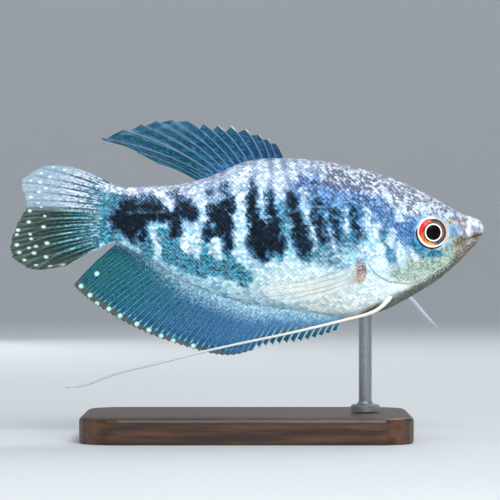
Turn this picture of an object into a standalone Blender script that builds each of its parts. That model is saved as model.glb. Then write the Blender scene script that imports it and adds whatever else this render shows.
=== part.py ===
"""Marble gourami, a life-size display model held up by one rod on a flat base.

The fish swims level, its snout towards +X and its back towards +Z, so that its left side faces +Y.
Scene lengths are metres. The tables below are in millimetres: x from the middle of the fish's length,
z from its long axis, which lies AXIS_HEIGHT above the floor.
"""

import math

import bmesh
import bpy
import numpy as np
from mathutils import Matrix

MM = 0.001
AXIS_HEIGHT = 48.0
GAP = 0.3
FAR_OUT = 20.0
CUT_STEPS = 32

# Outline of the head and body, seen from the side
BACK_LINE = [
    (-30.5, 10.6), (-24.0, 10.4), (-19.0, 10.6), (-13.1, 11.5), (-9.0, 12.7), (-5.3, 14.2),
    (-1.8, 15.8), (3.0, 16.9), (9.0, 17.1), (15.2, 16.7), (21.7, 15.8), (27.2, 14.6),
    (32.4, 13.0), (38.0, 10.7), (42.0, 8.8), (45.4, 6.9), (48.5, 5.1), (51.0, 3.9), (53.0, 3.2),
]
BELLY_LINE = [
    (-30.5, -2.4), (-27.0, -4.0), (-21.7, -7.0), (-15.2, -10.9), (-8.0, -14.1), (-1.5, -16.0),
    (7.1, -17.6), (17.1, -18.9), (24.0, -19.6), (28.7, -19.1), (33.4, -17.6), (38.0, -15.2),
    (41.4, -13.2), (44.4, -11.2), (47.0, -9.1), (49.4, -7.0), (51.4, -5.0), (53.0, -3.3),
]
# Half of the body's thickness, and how far its widest level lies above mid height
HALF_WIDTH = [
    (-30.5, 0.95), (-26.0, 2.0), (-20.0, 3.3), (-10.0, 5.1), (0.0, 6.6), (10.0, 7.5), (19.0, 7.8),
    (27.0, 7.6), (34.0, 6.9), (40.0, 5.8), (44.0, 4.85), (48.0, 3.8), (51.0, 3.0), (53.0, 2.4),
]
TOP_HEAVY = [(-30.5, 0.0), (-20.0, 0.12), (-5.0, 0.26), (10.0, 0.26), (24.0, 0.10), (34.0, 0.02), (53.0, 0.0)]
BODY_END = -30.5
SNOUT_START, SNOUT_LENGTH, SNOUT_Z = 53.0, 2.2, 0.2
RINGS, SNOUT_RINGS, RING_POINTS = 44, 5, 26
RING_CROWDING, SNOUT_REACH = 0.9, 0.96

# Side-view lines of the thin cuts that part the animal; the gill cover's edge is part of the neck cut
GILL_EDGE = [
    (30.6, 5.2), (28.0, 2.6), (26.5, -0.8), (27.0, -4.5), (28.2, -7.8), (30.2, -10.0), (33.2, -11.7),
]
NECK_CUT = [(32.6, 18.0), (32.0, 12.0)] + GILL_EDGE + [(36.2, -13.4), (38.6, -18.5)]
TAIL_CUT = [(-14.0, 16.0), (-15.2, 8.0), (-15.6, 0.0), (-14.6, -15.0)]
MOUTH_CUT = [(58.0, 0.0), (54.6, -0.4), (52.9, -0.9), (51.3, -1.6), (49.4, -4.0), (48.6, -12.0)]
# The bodies that the cuts leave, and the x that the middle of each lies behind
CUT_BODIES = [("tail", -12.0), ("trunk", 28.0), ("head", 50.0), ("lower_jaw", 60.0)]
# The rest of the gill cover's outline: its lower rim below the cheek, and its front edge
GILL_RIM = [(37.4, -12.0), (41.0, -10.9), (44.4, -8.9), (46.9, -7.0)]
GILL_FRONT = [(45.4, -6.5), (41.0, -8.2), (37.2, -8.9), (34.6, -7.2), (33.8, -3.8), (33.3, 0.6), (32.4, 4.2)]
GILL_EDGE_STEPS, GILL_FRONT_STEPS = 22, 16
COVER_THICKNESS = 1.2
COVER_PROUD = 0.25
COVER_INNER_Y = 1.0

# The eyeballs are flattened, and turned to look a little forwards, as the side of the head does
EYE_CENTRE = (43.05, 4.45, -0.1)
EYE_RADII = (3.75, 1.5, 3.75)
EYE_TURN = 14
EYE_RINGS = 12
NOSTRILS = [(47.5, 2.3, 0.5), (49.9, 2.6, 0.35)]
# Lips, as side-view lines from the corner of the mouth to the front, and the plate beside the lip
UPPER_LIP = [(51.6, -0.9), (52.9, -0.15), (54.2, 0.4), (55.15, 0.55)]
LOWER_LIP = [(51.4, -2.1), (52.5, -1.7), (53.5, -1.4), (54.2, -1.25)]
UPPER_LIP_RADIUS = 0.85
LOWER_LIP_RADIUS = 0.65
LIP_STEPS, LIP_SUNK = 9, 0.35
JAW_PLATE = (51.7, 1.3)
JAW_PLATE_RADII = (0.75, 0.5, 1.9)
JAW_PLATE_TILT = 14

# How each fin is made: the thickness of a ray at its root, of the membrane and of a ray's tip; how far
# the rays bow, as a share of their length; how deep the edge is cut between spines and between rays;
# the rows from root to edge; and where the columns lie between one ray and the next
FIN_LOOKS = {
    "dorsal_fin": (1.3, 0.55, 0.7, 0.05, 0.16, 0.03, 8, (0.0, 0.16, 0.86)),
    "anal_fin": (1.1, 0.55, 0.65, 0.03, 0.14, 0.03, 6, (0.0, 0.2, 0.82)),
    "caudal_fin": (1.25, 0.55, 0.65, 0.03, 0.015, 0.015, 8, (0.0, 0.22, 0.78)),
    "pectoral_fin_left": (0.95, 0.5, 0.55, -0.04, 0.02, 0.02, 6, (0.0, 0.25, 0.75)),
}
# Fins: (station along the root, x and z on the root, x and z at the ray's tip)
DORSAL_SPINES, DORSAL_RAYS = 7, 9
DORSAL_FIN = [
    (0.00, 8.9, 16.0, 6.8, 20.6), (0.07, 7.2, 16.0, 5.0, 21.6), (0.14, 5.7, 16.0, 2.9, 22.7),
    (0.21, 4.1, 15.8, -0.2, 23.8), (0.28, 2.4, 15.6, -3.6, 24.5), (0.36, 0.7, 15.2, -7.4, 24.9),
    (0.46, -1.6, 14.5, -12.8, 25.6), (0.56, -3.5, 13.7, -17.8, 26.0), (0.66, -5.2, 12.9, -23.4, 25.3),
    (0.76, -6.7, 12.2, -29.0, 23.6), (0.84, -7.9, 11.6, -33.8, 21.8), (0.90, -8.8, 11.2, -29.8, 20.2),
    (0.95, -9.5, 10.9, -25.4, 18.4), (1.00, -10.2, 10.7, -20.8, 15.8),
]
ANAL_SPINES, ANAL_RAYS = 11, 19
ANAL_FIN = [
    (0.00, 23.8, -18.2, 21.0, -23.0), (0.10, 18.3, -17.6, 12.9, -25.5), (0.20, 11.7, -16.8, 4.8, -26.6),
    (0.30, 5.9, -15.9, -2.4, -28.6), (0.40, 0.8, -14.9, -9.0, -28.2), (0.50, -4.3, -13.6, -15.9, -26.2),
    (0.60, -9.7, -11.8, -22.6, -23.8), (0.70, -14.6, -9.5, -29.0, -20.7), (0.80, -19.7, -6.7, -34.6, -17.3),
    (0.90, -24.6, -3.8, -38.4, -14.4), (1.00, -29.3, -2.0, -40.3, -12.5),
]
CAUDAL_RAYS = 14
CAUDAL_FIN = [
    (0.00, -30.0, 10.6, -41.0, 15.2), (0.08, -30.0, 9.6, -46.3, 15.5), (0.16, -30.0, 8.6, -50.0, 13.9),
    (0.24, -30.0, 7.6, -52.3, 12.2), (0.36, -30.0, 6.2, -51.9, 8.9), (0.50, -30.0, 4.4, -51.4, 5.4),
    (0.58, -30.0, 3.3, -52.5, 3.4), (0.68, -30.0, 2.0, -54.2, -0.1), (0.78, -30.0, 0.7, -55.0, -3.5),
    (0.86, -30.0, -0.3, -54.2, -6.2), (0.92, -30.0, -1.1, -51.6, -8.1), (0.97, -30.0, -1.7, -47.2, -8.8),
    (1.00, -30.0, -2.1, -42.0, -7.9),
]
# The pectoral fin's points have a third size, the distance out from the mid plane
PECTORAL_RAYS = 9
PECTORAL_FIN = [
    (0.0, 26.0, 7.2, -7.6, 5.2, 11.9, -12.7), (0.25, 25.8, 7.0, -8.6, 3.6, 12.2, -13.4),
    (0.5, 25.6, 6.8, -9.5, 3.8, 12.3, -14.3), (0.75, 25.3, 6.6, -10.5, 5.6, 12.0, -15.4),
    (1.0, 25.0, 6.3, -11.4, 9.0, 11.4, -16.2),
]
# The fleshy pad that the fin stands on
PECTORAL_PAD = (26.2, -9.6)
PECTORAL_PAD_RADII = (1.5, 1.0, 3.9)
PECTORAL_PAD_TILT = 10
# Thread-like pelvic fins: x, distance from the mid plane, z, half the width and half the thickness
FILAMENT_SIDES, FILAMENT_CROWDING = 8, 1.15
PELVIC_RIGHT = [
    (33.2, 2.6, -14.3, 1.00, 0.62), (32.3, 4.0, -16.1, 0.92, 0.58), (30.2, 4.2, -18.0, 0.78, 0.50),
    (27.7, 4.0, -19.1, 0.66, 0.44), (23.9, 3.9, -20.1, 0.58, 0.40), (17.4, 3.8, -21.7, 0.54, 0.38),
    (8.2, 3.8, -23.8, 0.50, 0.36), (-10.8, 4.2, -27.9, 0.42, 0.32), (-23.2, 4.8, -31.0, 0.36, 0.28),
    (-32.3, 5.4, -33.5, 0.32, 0.26), (-38.3, 5.9, -35.6, 0.26, 0.22), (-41.6, 6.2, -35.9, 0.12, 0.12),
]
PELVIC_LEFT = [
    (33.2, 2.6, -14.0, 0.90, 0.50), (35.6, 6.0, -13.9, 0.84, 0.46), (37.9, 9.8, -15.2, 0.78, 0.42),
    (41.2, 16.0, -18.6, 0.66, 0.36), (43.6, 20.5, -21.0, 0.40, 0.28), (44.8, 23.4, -22.3, 0.12, 0.12),
]

BASE_LENGTH, BASE_WIDTH, BASE_HEIGHT = 76.0, 52.0, 6.0
BASE_CORNER, BASE_EDGE = 9.0, 0.9
ROD_X, ROD_RADIUS, ROD_SIDES = 27.6, 1.5, 24
COLLAR_RADIUS, COLLAR_HEIGHT, COLLAR_EDGE = 3.4, 1.6, 0.4
FLOOR = -AXIS_HEIGHT


class Spline:
    """A natural cubic through rows of (parameter, value, ...), read at any parameter."""

    def __init__(self, rows):
        table = np.array(rows, float)
        self.knots, self.values = table[:, 0], table[:, 1:]
        count = len(self.knots)
        step = np.diff(self.knots)
        slope = np.diff(self.values, axis=0) / step[:, None]
        matrix = np.eye(count)
        right = np.zeros_like(self.values)
        for i in range(1, count - 1):
            matrix[i, i - 1 : i + 2] = step[i - 1], 2 * (step[i - 1] + step[i]), step[i]
            right[i] = 6 * (slope[i] - slope[i - 1])
        self.bend = np.linalg.solve(matrix, right)

    def __call__(self, at):
        at = np.atleast_1d(np.asarray(at, float))
        i = np.clip(np.searchsorted(self.knots, at) - 1, 0, len(self.knots) - 2)
        step = (self.knots[i + 1] - self.knots[i])[:, None]
        b = ((at - self.knots[i])[:, None]) / step
        a = 1 - b
        curve = (a**3 - a) * self.bend[i] + (b**3 - b) * self.bend[i + 1]
        return a * self.values[i] + b * self.values[i + 1] + curve * step**2 / 6


def through(points):
    """A spline through the points, its parameter running from 0 to 1 with their spacing."""
    points = np.array(points, float)
    steps = np.linalg.norm(np.diff(points[:, :3], axis=0), axis=1)
    run = np.concatenate([[0], np.cumsum(steps)])
    return Spline(np.column_stack([run / run[-1], points]))


def new_object(name, vertices, faces, place):
    """A mesh object from points given in millimetres from the fish's axis."""
    mesh = bpy.data.meshes.new(name)
    points = (np.asarray(vertices, float) + (0, 0, AXIS_HEIGHT)) * MM
    mesh.from_pydata(points.tolist(), [], [list(face) for face in faces])
    mesh.update()
    made = bpy.data.objects.new(name, mesh)
    place.objects.link(made)
    return made


def loft(name, rings, place):
    """A closed solid through rings of points, each end closed by a fan of triangles."""
    rings = np.asarray(rings, float)
    count, around = rings.shape[:2]
    vertices = np.vstack([rings.reshape(-1, 3), rings[0].mean(0), rings[-1].mean(0)])
    first, last = count * around, count * around + 1
    faces = []
    for i in range(count - 1):
        for j in range(around):
            k = (j + 1) % around
            a, b = i * around + j, i * around + k
            faces += [(a, b, b + around), (a, b + around, a + around)]
    for j in range(around):
        k = (j + 1) % around
        faces.append((first, k, j))
        faces.append((last, (count - 1) * around + j, (count - 1) * around + k))
    made = new_object(name, vertices, faces, place)
    outward(made)
    return made


def outward(obj):
    """Turns the faces of a closed mesh so that they all point out."""
    work = bmesh.new()
    work.from_mesh(obj.data)
    bmesh.ops.recalc_face_normals(work, faces=work.faces)
    work.to_mesh(obj.data)
    work.free()


def baked(obj):
    """Gives the object the mesh that its modifiers make."""
    bpy.context.view_layer.update()
    graph = bpy.context.evaluated_depsgraph_get()
    mesh = bpy.data.meshes.new_from_object(obj.evaluated_get(graph))
    obj.modifiers.clear()
    obj.data = mesh
    return obj


def carve(obj, tool, operation="DIFFERENCE"):
    """One Boolean on the object, applied at once."""
    step = obj.modifiers.new(tool.name, "BOOLEAN")
    step.operation = operation
    step.object = tool
    return baked(obj)


def join_all(obj, pieces):
    """One Boolean union of the object with every piece of a collection, which then goes."""
    step = obj.modifiers.new(pieces.name, "BOOLEAN")
    step.operation = "UNION"
    step.operand_type = "COLLECTION"
    step.collection = pieces
    baked(obj)
    for piece in list(pieces.objects):
        bpy.data.objects.remove(piece)
    bpy.data.collections.remove(pieces)


def copy_of(obj, name, place):
    made = bpy.data.objects.new(name, obj.data.copy())
    place.objects.link(made)
    return made


def shells(obj):
    """Faces of each separate closed surface of the mesh, as lists of face indices."""
    work = bmesh.new()
    work.from_mesh(obj.data)
    work.faces.ensure_lookup_table()
    seen, found = set(), []
    for start in work.faces:
        if start.index in seen:
            continue
        group, front = [], [start]
        seen.add(start.index)
        while front:
            face = front.pop()
            group.append(face.index)
            for edge in face.edges:
                for other in edge.link_faces:
                    if other.index not in seen:
                        seen.add(other.index)
                        front.append(other)
        found.append(group)
    work.free()
    return sorted(found, key=len, reverse=True)


def keep_faces(obj, kept):
    """Drops every face whose index isn't kept."""
    kept = set(kept)
    work = bmesh.new()
    work.from_mesh(obj.data)
    work.faces.ensure_lookup_table()
    drop = [face for face in work.faces if face.index not in kept]
    bmesh.ops.delete(work, geom=drop, context="FACES")
    work.to_mesh(obj.data)
    work.free()


def keep_largest(obj):
    keep_faces(obj, shells(obj)[0])
    return obj


def prism(name, outline, low_y, high_y, place):
    """A solid with a side-view outline, running between two distances from the mid plane."""
    curve = bpy.data.curves.new(name, "CURVE")
    curve.dimensions = "2D"
    curve.fill_mode = "BOTH"
    curve.extrude = (high_y - low_y) / 2 * MM
    line = curve.splines.new("POLY")
    line.points.add(len(outline) - 1)
    for point, (x, z) in zip(line.points, outline):
        point.co = (x * MM, (z + AXIS_HEIGHT) * MM, 0, 1)
    line.use_cyclic_u = True
    guide = bpy.data.objects.new(name + "_outline", curve)
    guide.rotation_euler = (math.pi / 2, 0, 0)
    guide.location = (0, (low_y + high_y) / 2 * MM, 0)
    place.objects.link(guide)
    bpy.context.view_layer.update()
    graph = bpy.context.evaluated_depsgraph_get()
    mesh = bpy.data.meshes.new_from_object(guide.evaluated_get(graph))
    mesh.transform(guide.matrix_world)
    bpy.data.objects.remove(guide)
    work = bmesh.new()
    work.from_mesh(mesh)
    bmesh.ops.remove_doubles(work, verts=work.verts, dist=1e-7)
    bmesh.ops.recalc_face_normals(work, faces=work.faces)
    work.to_mesh(mesh)
    work.free()
    made = bpy.data.objects.new(name, mesh)
    place.objects.link(made)
    return made


def smooth_line(points, steps):
    """Points evenly along a smooth line through the given ones."""
    return through(points)(np.linspace(0, 1, steps))


def sideways(line, by):
    """A side-view line moved to its left by a distance."""
    line = np.asarray(line, float)
    ahead = np.gradient(line, axis=0)
    ahead /= np.linalg.norm(ahead, axis=1)[:, None]
    return line + np.column_stack([-ahead[:, 1], ahead[:, 0]]) * by


def thin_wall(name, line, place):
    """A wall as thick as the gap along a side-view line, right through the fish."""
    line = smooth_line(line, CUT_STEPS)
    outline = np.vstack([sideways(line, GAP / 2), sideways(line, -GAP / 2)[::-1]])
    return prism(name, outline.tolist(), -FAR_OUT, FAR_OUT, place)


def section(xs):
    """Top, bottom, half width and skew of the body at each x, the snout's rounding included."""
    xs = np.atleast_1d(np.asarray(xs, float))
    at = np.minimum(xs, SNOUT_START)
    ahead = np.clip((xs - SNOUT_START) / SNOUT_LENGTH, 0, 1)
    round_end, sloping_end = np.sqrt(1 - ahead**2), 1 - ahead
    top = SNOUT_Z + (Spline(BACK_LINE)(at)[:, 0] - SNOUT_Z) * round_end
    bottom = SNOUT_Z + (Spline(BELLY_LINE)(at)[:, 0] - SNOUT_Z) * sloping_end
    return top, bottom, Spline(HALF_WIDTH)(at)[:, 0] * round_end, Spline(TOP_HEAVY)(at)[:, 0]


def skin_y(x, z):
    """How far the skin lies from the mid plane at a point of the side view."""
    top, bottom, width, skew = section(x)
    rise = np.clip((2 * z - top - bottom) / np.maximum(top - bottom, 0.001), -1, 1)
    return width * (1 + skew * rise) * np.sqrt(1 - rise**2)


def body_rings(grow=0.0, thin=0.0):
    """Rings of the whole body from tail root to snout, grown outwards or made thinner."""
    straight = np.linspace(0, 1, RINGS) ** RING_CROWDING * (SNOUT_START - BODY_END) + BODY_END
    turn = np.linspace(0, 1, SNOUT_RINGS + 1)[1:] * math.pi / 2 * SNOUT_REACH
    xs = np.concatenate([straight, SNOUT_START + SNOUT_LENGTH * np.sin(turn)])
    top, bottom, width, skew = section(xs)
    angle = np.linspace(0, 2 * math.pi, RING_POINTS, endpoint=False)
    rings = np.empty((len(xs), RING_POINTS, 3))
    rings[..., 0] = xs[:, None]
    middle, half = (top + bottom) / 2, (top - bottom) / 2
    side = np.maximum(width - thin, width * 0.2)[:, None] * (1 + skew[:, None] * np.cos(angle))
    rings[..., 1] = side * np.sin(angle)
    rings[..., 2] = middle[:, None] + half[:, None] * np.cos(angle)
    return grown(rings, grow) if grow else rings


def grown(rings, by):
    """The same rings moved out along the surface's own normals."""
    along = np.gradient(rings, axis=0)
    around = np.roll(rings, -1, axis=1) - np.roll(rings, 1, axis=1)
    normal = np.cross(along, around)
    normal /= np.linalg.norm(normal, axis=2)[..., None]
    out = rings - rings.mean(axis=1)[:, None]
    normal *= np.sign((normal * out).sum(axis=2).mean())
    moved = rings + normal * by
    moved[0, :, 0] = rings[0, :, 0] - by
    moved[-1, :, 0] = rings[-1, :, 0] + by
    return moved


def ellipsoid(name, centre, radii, rings, place, tilt=0.0, axis="Y"):
    """A sphere primitive stretched to three radii, then tilted by some degrees about an axis."""
    spot = Matrix.Translation([(centre[0]) * MM, centre[1] * MM, (centre[2] + AXIS_HEIGHT) * MM])
    turn = Matrix.Rotation(math.radians(tilt), 4, axis)
    stretch = Matrix.Diagonal([radius * MM for radius in radii] + [1])
    work = bmesh.new()
    bmesh.ops.create_uvsphere(
        work, u_segments=2 * rings, v_segments=rings, radius=1, matrix=spot @ turn @ stretch
    )
    mesh = bpy.data.meshes.new(name)
    work.to_mesh(mesh)
    work.free()
    made = bpy.data.objects.new(name, mesh)
    place.objects.link(made)
    outward(made)
    return made


def lip(name, line, radius, place):
    """A rounded ridge along a jaw's edge, right round its front, thinner at the mouth's corners."""
    turn = np.linspace(0, math.pi / 2, LIP_STEPS)
    corner, front = line[0][0], line[-1][0]
    x = corner + (front - corner) * np.sin(turn)
    z = Spline(line)(x)[:, 0]
    half = np.column_stack([x - LIP_SUNK * np.sin(turn), skin_y(x, z) - LIP_SUNK * np.cos(turn), z])
    half[-1, 1] = 0
    path = np.vstack([half * (1, -1, 1), half[-2::-1]])
    fat = radius * (0.5 + 0.5 * np.sin(np.linspace(0, math.pi, len(path))))
    return tube(name, path, fat, fat, 8, place)


def tube(name, centre, wide, thick, sides, place):
    """A solid of elliptical section along a path: wide across the path's bend, thick in it."""
    ahead = np.gradient(centre, axis=0)
    ahead /= np.linalg.norm(ahead, axis=1)[:, None]
    across = np.cross(ahead, (0.0, 0.0, 1.0))
    across /= np.linalg.norm(across, axis=1)[:, None]
    up = np.cross(across, ahead)
    angle = np.linspace(0, 2 * math.pi, sides, endpoint=False)
    rings = centre[:, None] + across[:, None] * (np.cos(angle)[:, None] * wide[:, None, None])
    rings = rings + up[:, None] * (np.sin(angle)[:, None] * thick[:, None, None])
    return loft(name, rings, place)


def fin(name, stations, rays, spines, place):
    """A fin: an open grid with a column on each ray, thickened so that the rays stand up as ridges."""
    ray, membrane, tip, bow, spine_notch, ray_notch, rows, phases = FIN_LOOKS[name]
    span = len(stations[0]) // 2
    shape = Spline(stations)
    places = [(i + phase, i, phase) for i in range(rays - 1) for phase in phases]
    places.append((rays - 1, rays - 1, 0.0))
    work = bmesh.new()
    bmesh.ops.create_grid(work, x_segments=len(places) - 1, y_segments=rows - 1, size=0.5)
    grid = sorted(work.verts, key=lambda v: (round(v.co.x, 6), round(v.co.y, 6)))
    weights = np.zeros(len(grid))
    for column, (place_s, index, phase) in enumerate(places):
        ends = shape(place_s / (rays - 1))[0]
        root, far = ends[:span], ends[span:]
        if span == 2:
            root, far = np.array([root[0], 0, root[1]]), np.array([far[0], 0, far[1]])
        notch = spine_notch if index < spines else ray_notch
        reach = 1 - notch * phase if phase else 1.0
        length = np.linalg.norm(far - root)
        ahead = (far - root) / length
        front = np.cross((0.0, 1.0, 0.0), ahead)
        for row in range(rows):
            t = row / (rows - 1) * reach
            point = root + (far - root) * t + front * (4 * t * (1 - t) * bow * length)
            vertex = grid[column * rows + row]
            vertex.co = (point + (0, 0, AXIS_HEIGHT)) * MM
            on_ray = phase == 0.0
            thick = ray + (tip - ray) * t if on_ray else membrane
            weights[column * rows + row] = (thick - membrane) / (ray - membrane)
    order = {vertex.index: i for i, vertex in enumerate(grid)}
    bmesh.ops.triangulate(work, faces=work.faces)
    mesh = bpy.data.meshes.new(name)
    work.to_mesh(mesh)
    work.free()
    made = bpy.data.objects.new(name, mesh)
    place.objects.link(made)
    group = made.vertex_groups.new(name="ray")
    for vertex in mesh.vertices:
        group.add([vertex.index], float(weights[order[vertex.index]]), "REPLACE")
    thicken = made.modifiers.new("Thickness", "SOLIDIFY")
    thicken.thickness = ray * MM
    thicken.offset = 0
    thicken.vertex_group = group.name
    thicken.thickness_vertex_group = membrane / ray
    baked(made)
    made.vertex_groups.clear()
    outward(made)
    return made


def mirrored(obj, name, place):
    """The same piece on the other side of the mid plane."""
    made = copy_of(obj, name, place)
    for vertex in made.data.vertices:
        vertex.co.y = -vertex.co.y
    made.data.flip_normals()
    return made


def make_body(fish, tools):
    """The head, lower jaw, trunk and tail: one body, dressed with its raised forms, then parted."""
    whole = loft("head", body_rings(), fish)
    forms = bpy.data.collections.new("raised_forms")
    bpy.context.scene.collection.children.link(forms)
    raise_forms(forms)
    join_all(whole, forms)
    for side in (-1, 1):
        for number, (x, z, radius) in enumerate(NOSTRILS):
            spot = (x, side * skin_y(x, z)[0], z)
            carve(whole, ellipsoid(f"nostril_{number}", spot, (radius, radius, radius), 5, tools))
        carve(whole, eyeball("socket", side, GAP, tools))
    for name, line in (("neck_cut", NECK_CUT), ("tail_cut", TAIL_CUT), ("mouth_cut", MOUTH_CUT)):
        carve(whole, thin_wall(name, line, tools))
    regions = {}
    for group in shells(whole):
        middle = np.mean([whole.data.polygons[i].center[0] for i in group]) / MM
        region = next(name for name, limit in CUT_BODIES if middle < limit)
        regions.setdefault(region, group)
    for name in ("lower_jaw", "trunk", "tail"):
        keep_faces(copy_of(whole, name, fish), regions[name])
    keep_faces(whole, regions["head"])
    for side, name in ((-1, "gill_cover_right"), (1, "gill_cover_left")):
        carve(whole, gill_plate("gill_recess", side, GAP / 2, 0.0, COVER_THICKNESS + GAP, tools))
        gill_plate(name, side, -GAP / 2, COVER_PROUD, COVER_THICKNESS, fish, tools)
    keep_largest(whole)


def raise_forms(forms):
    """Lips, the plates beside the mouth and the pads of the pectoral fins, to join to the body."""
    lip("upper_lip", UPPER_LIP, UPPER_LIP_RADIUS, forms)
    lip("lower_lip", LOWER_LIP, LOWER_LIP_RADIUS, forms)
    x, z = JAW_PLATE
    for side in (-1, 1):
        spot = (x, side * (skin_y(x, z)[0] - 0.1), z)
        ellipsoid("jaw_plate", spot, JAW_PLATE_RADII, 7, forms, JAW_PLATE_TILT)
        pectoral_pad(side, 0.0, forms)


def pectoral_pad(side, grow, tools):
    x, z = PECTORAL_PAD
    radii = [radius + grow for radius in PECTORAL_PAD_RADII]
    return ellipsoid("pectoral_pad", (x, side * skin_y(x, z)[0], z), radii, 8, tools, PECTORAL_PAD_TILT)


def gill_plate(name, side, widen, proud, thick, place, tools=None):
    """A plate with the gill cover's outline, curved like the side of the head."""
    tools = tools or place
    edge = smooth_line(GILL_EDGE + GILL_RIM, GILL_EDGE_STEPS)
    front = smooth_line(GILL_FRONT, GILL_FRONT_STEPS)
    outline = np.vstack([edge, front])
    ring = np.vstack([outline[-1], outline, outline[0]])
    low, high = (COVER_INNER_Y, FAR_OUT) if side > 0 else (-FAR_OUT, -COVER_INNER_Y)
    plate = prism(name, sideways(ring, -widen)[1:-1].tolist(), low, high, place)
    if proud:
        carve(plate, loft("cover_outside", body_rings(grow=proud), tools), "INTERSECT")
    carve(plate, loft("cover_inside", body_rings(thin=thick), tools))
    return keep_largest(plate)


def make_fins(fish, tools, clearance):
    """All the fins, each cut back so that its root meets the body across the gap."""
    left = fin("pectoral_fin_left", PECTORAL_FIN, PECTORAL_RAYS, 0, fish)
    made = [
        fin("dorsal_fin", DORSAL_FIN, DORSAL_SPINES + DORSAL_RAYS, DORSAL_SPINES, fish),
        fin("anal_fin", ANAL_FIN, ANAL_SPINES + ANAL_RAYS, ANAL_SPINES, fish),
        fin("caudal_fin", CAUDAL_FIN, CAUDAL_RAYS, 0, fish),
        left,
        mirrored(left, "pectoral_fin_right", fish),
    ]
    for name, line, side, steps in (
        ("pelvic_fin_right", PELVIC_RIGHT, -1, 26),
        ("pelvic_fin_left", PELVIC_LEFT, 1, 14),
    ):
        path = through([(x, side * y, z, wide, thick) for x, y, z, wide, thick in line])
        rows = path(np.linspace(0, 1, steps) ** FILAMENT_CROWDING)
        made.append(tube(name, rows[:, :3], rows[:, 3], rows[:, 4], FILAMENT_SIDES, fish))
    for piece in made:
        carve(piece, clearance)
        if piece.name.startswith("pectoral"):
            carve(piece, pectoral_pad(1 if piece.name.endswith("left") else -1, GAP, tools))
        keep_largest(piece)


def eyeball(name, side, grow, place):
    x, y, z = EYE_CENTRE
    radii = [radius + grow for radius in EYE_RADII]
    return ellipsoid(name, (x, side * y, z), radii, EYE_RINGS, place, -side * EYE_TURN, "Z")


def rounded_rectangle(length, width, corner, points):
    """The outline of a plate with round corners, the given number of points to each corner."""
    outline = []
    for number, (sx, sy) in enumerate(((1, 1), (-1, 1), (-1, -1), (1, -1))):
        for turn in np.linspace(0, math.pi / 2, points) + number * math.pi / 2:
            x = sx * (length / 2 - corner) + corner * math.cos(turn)
            y = sy * (width / 2 - corner) + corner * math.sin(turn)
            outline.append((x, y))
    return outline


def make_stand(fish, clearance):
    """The base plate with softened edges, and the turned rod with its foot collar."""
    rings = []
    for height, inset in (
        (0.0, BASE_EDGE * 0.5),
        (BASE_EDGE * 0.5, 0.0),
        (BASE_HEIGHT - BASE_EDGE, 0.0),
        (BASE_HEIGHT - BASE_EDGE * 0.3, BASE_EDGE * 0.3),
        (BASE_HEIGHT, BASE_EDGE),
    ):
        length, width = BASE_LENGTH - 2 * inset, BASE_WIDTH - 2 * inset
        outline = rounded_rectangle(length, width, BASE_CORNER - inset, 7)
        rings.append([(x, y, FLOOR + height) for x, y in outline])
    loft("stand_base", rings, fish)

    foot = FLOOR + BASE_HEIGHT + GAP
    collar = foot + COLLAR_HEIGHT
    top = Spline(BELLY_LINE)(ROD_X)[0, 0] + ROD_RADIUS
    profile = [
        (0.0, top), (ROD_RADIUS, top), (ROD_RADIUS, collar + 2 * COLLAR_EDGE),
        (ROD_RADIUS + COLLAR_EDGE, collar + COLLAR_EDGE / 2), (COLLAR_RADIUS - COLLAR_EDGE, collar),
        (COLLAR_RADIUS, collar - COLLAR_EDGE), (COLLAR_RADIUS, foot), (0.0, foot),
    ]
    mesh = bpy.data.meshes.new("stand_rod")
    points = [(r * MM, 0, (z + AXIS_HEIGHT) * MM) for r, z in profile]
    mesh.from_pydata(points, [(i, i + 1) for i in range(len(points) - 1)], [])
    rod = bpy.data.objects.new("stand_rod", mesh)
    rod.location.x = ROD_X * MM
    fish.objects.link(rod)
    turn = rod.modifiers.new("Turn", "SCREW")
    turn.steps = turn.render_steps = ROD_SIDES
    turn.use_merge_vertices = True
    turn.merge_threshold = 0.00001
    turn.use_smooth_shade = False
    baked(rod)
    rod.data.transform(rod.matrix_world)
    rod.location.x = 0
    outward(rod)
    carve(rod, clearance)
    keep_largest(rod)


def finish(name, colour, roughness, metallic):
    made = bpy.data.materials.new(name)
    made.use_nodes = True
    shader = made.node_tree.nodes["Principled BSDF"]
    shader.inputs["Base Color"].default_value = (*colour, 1)
    shader.inputs["Roughness"].default_value = roughness
    shader.inputs["Metallic"].default_value = metallic
    return made


def paint(fish):
    """One material for each node, from the colours of the living fish."""
    colours = {
        "head": ((0.55, 0.66, 0.82), 0.35, 0.2),
        "lower_jaw": ((0.45, 0.36, 0.32), 0.45, 0.0),
        "gill_cover": ((0.72, 0.82, 0.92), 0.3, 0.3),
        "eye": ((0.02, 0.03, 0.05), 0.08, 0.0),
        "trunk": ((0.50, 0.66, 0.80), 0.35, 0.2),
        "tail": ((0.30, 0.42, 0.52), 0.4, 0.2),
        "dorsal_fin": ((0.10, 0.30, 0.45), 0.4, 0.1),
        "anal_fin": ((0.18, 0.42, 0.60), 0.4, 0.1),
        "caudal_fin": ((0.50, 0.62, 0.66), 0.4, 0.1),
        "pectoral_fin": ((0.82, 0.86, 0.84), 0.4, 0.0),
        "pelvic_fin": ((0.72, 0.80, 0.84), 0.4, 0.0),
        "stand_base": ((0.16, 0.085, 0.045), 0.45, 0.0),
        "stand_rod": ((0.55, 0.55, 0.56), 0.3, 1.0),
    }
    finishes = {name: finish(name, *values) for name, values in colours.items()}
    for piece in fish.objects:
        kind = piece.name.removesuffix("_left").removesuffix("_right")
        piece.data.materials.clear()
        piece.data.materials.append(finishes[kind])
        piece.data.shade_smooth()
        piece.data.set_sharp_from_angle(angle=math.radians(40))


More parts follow.
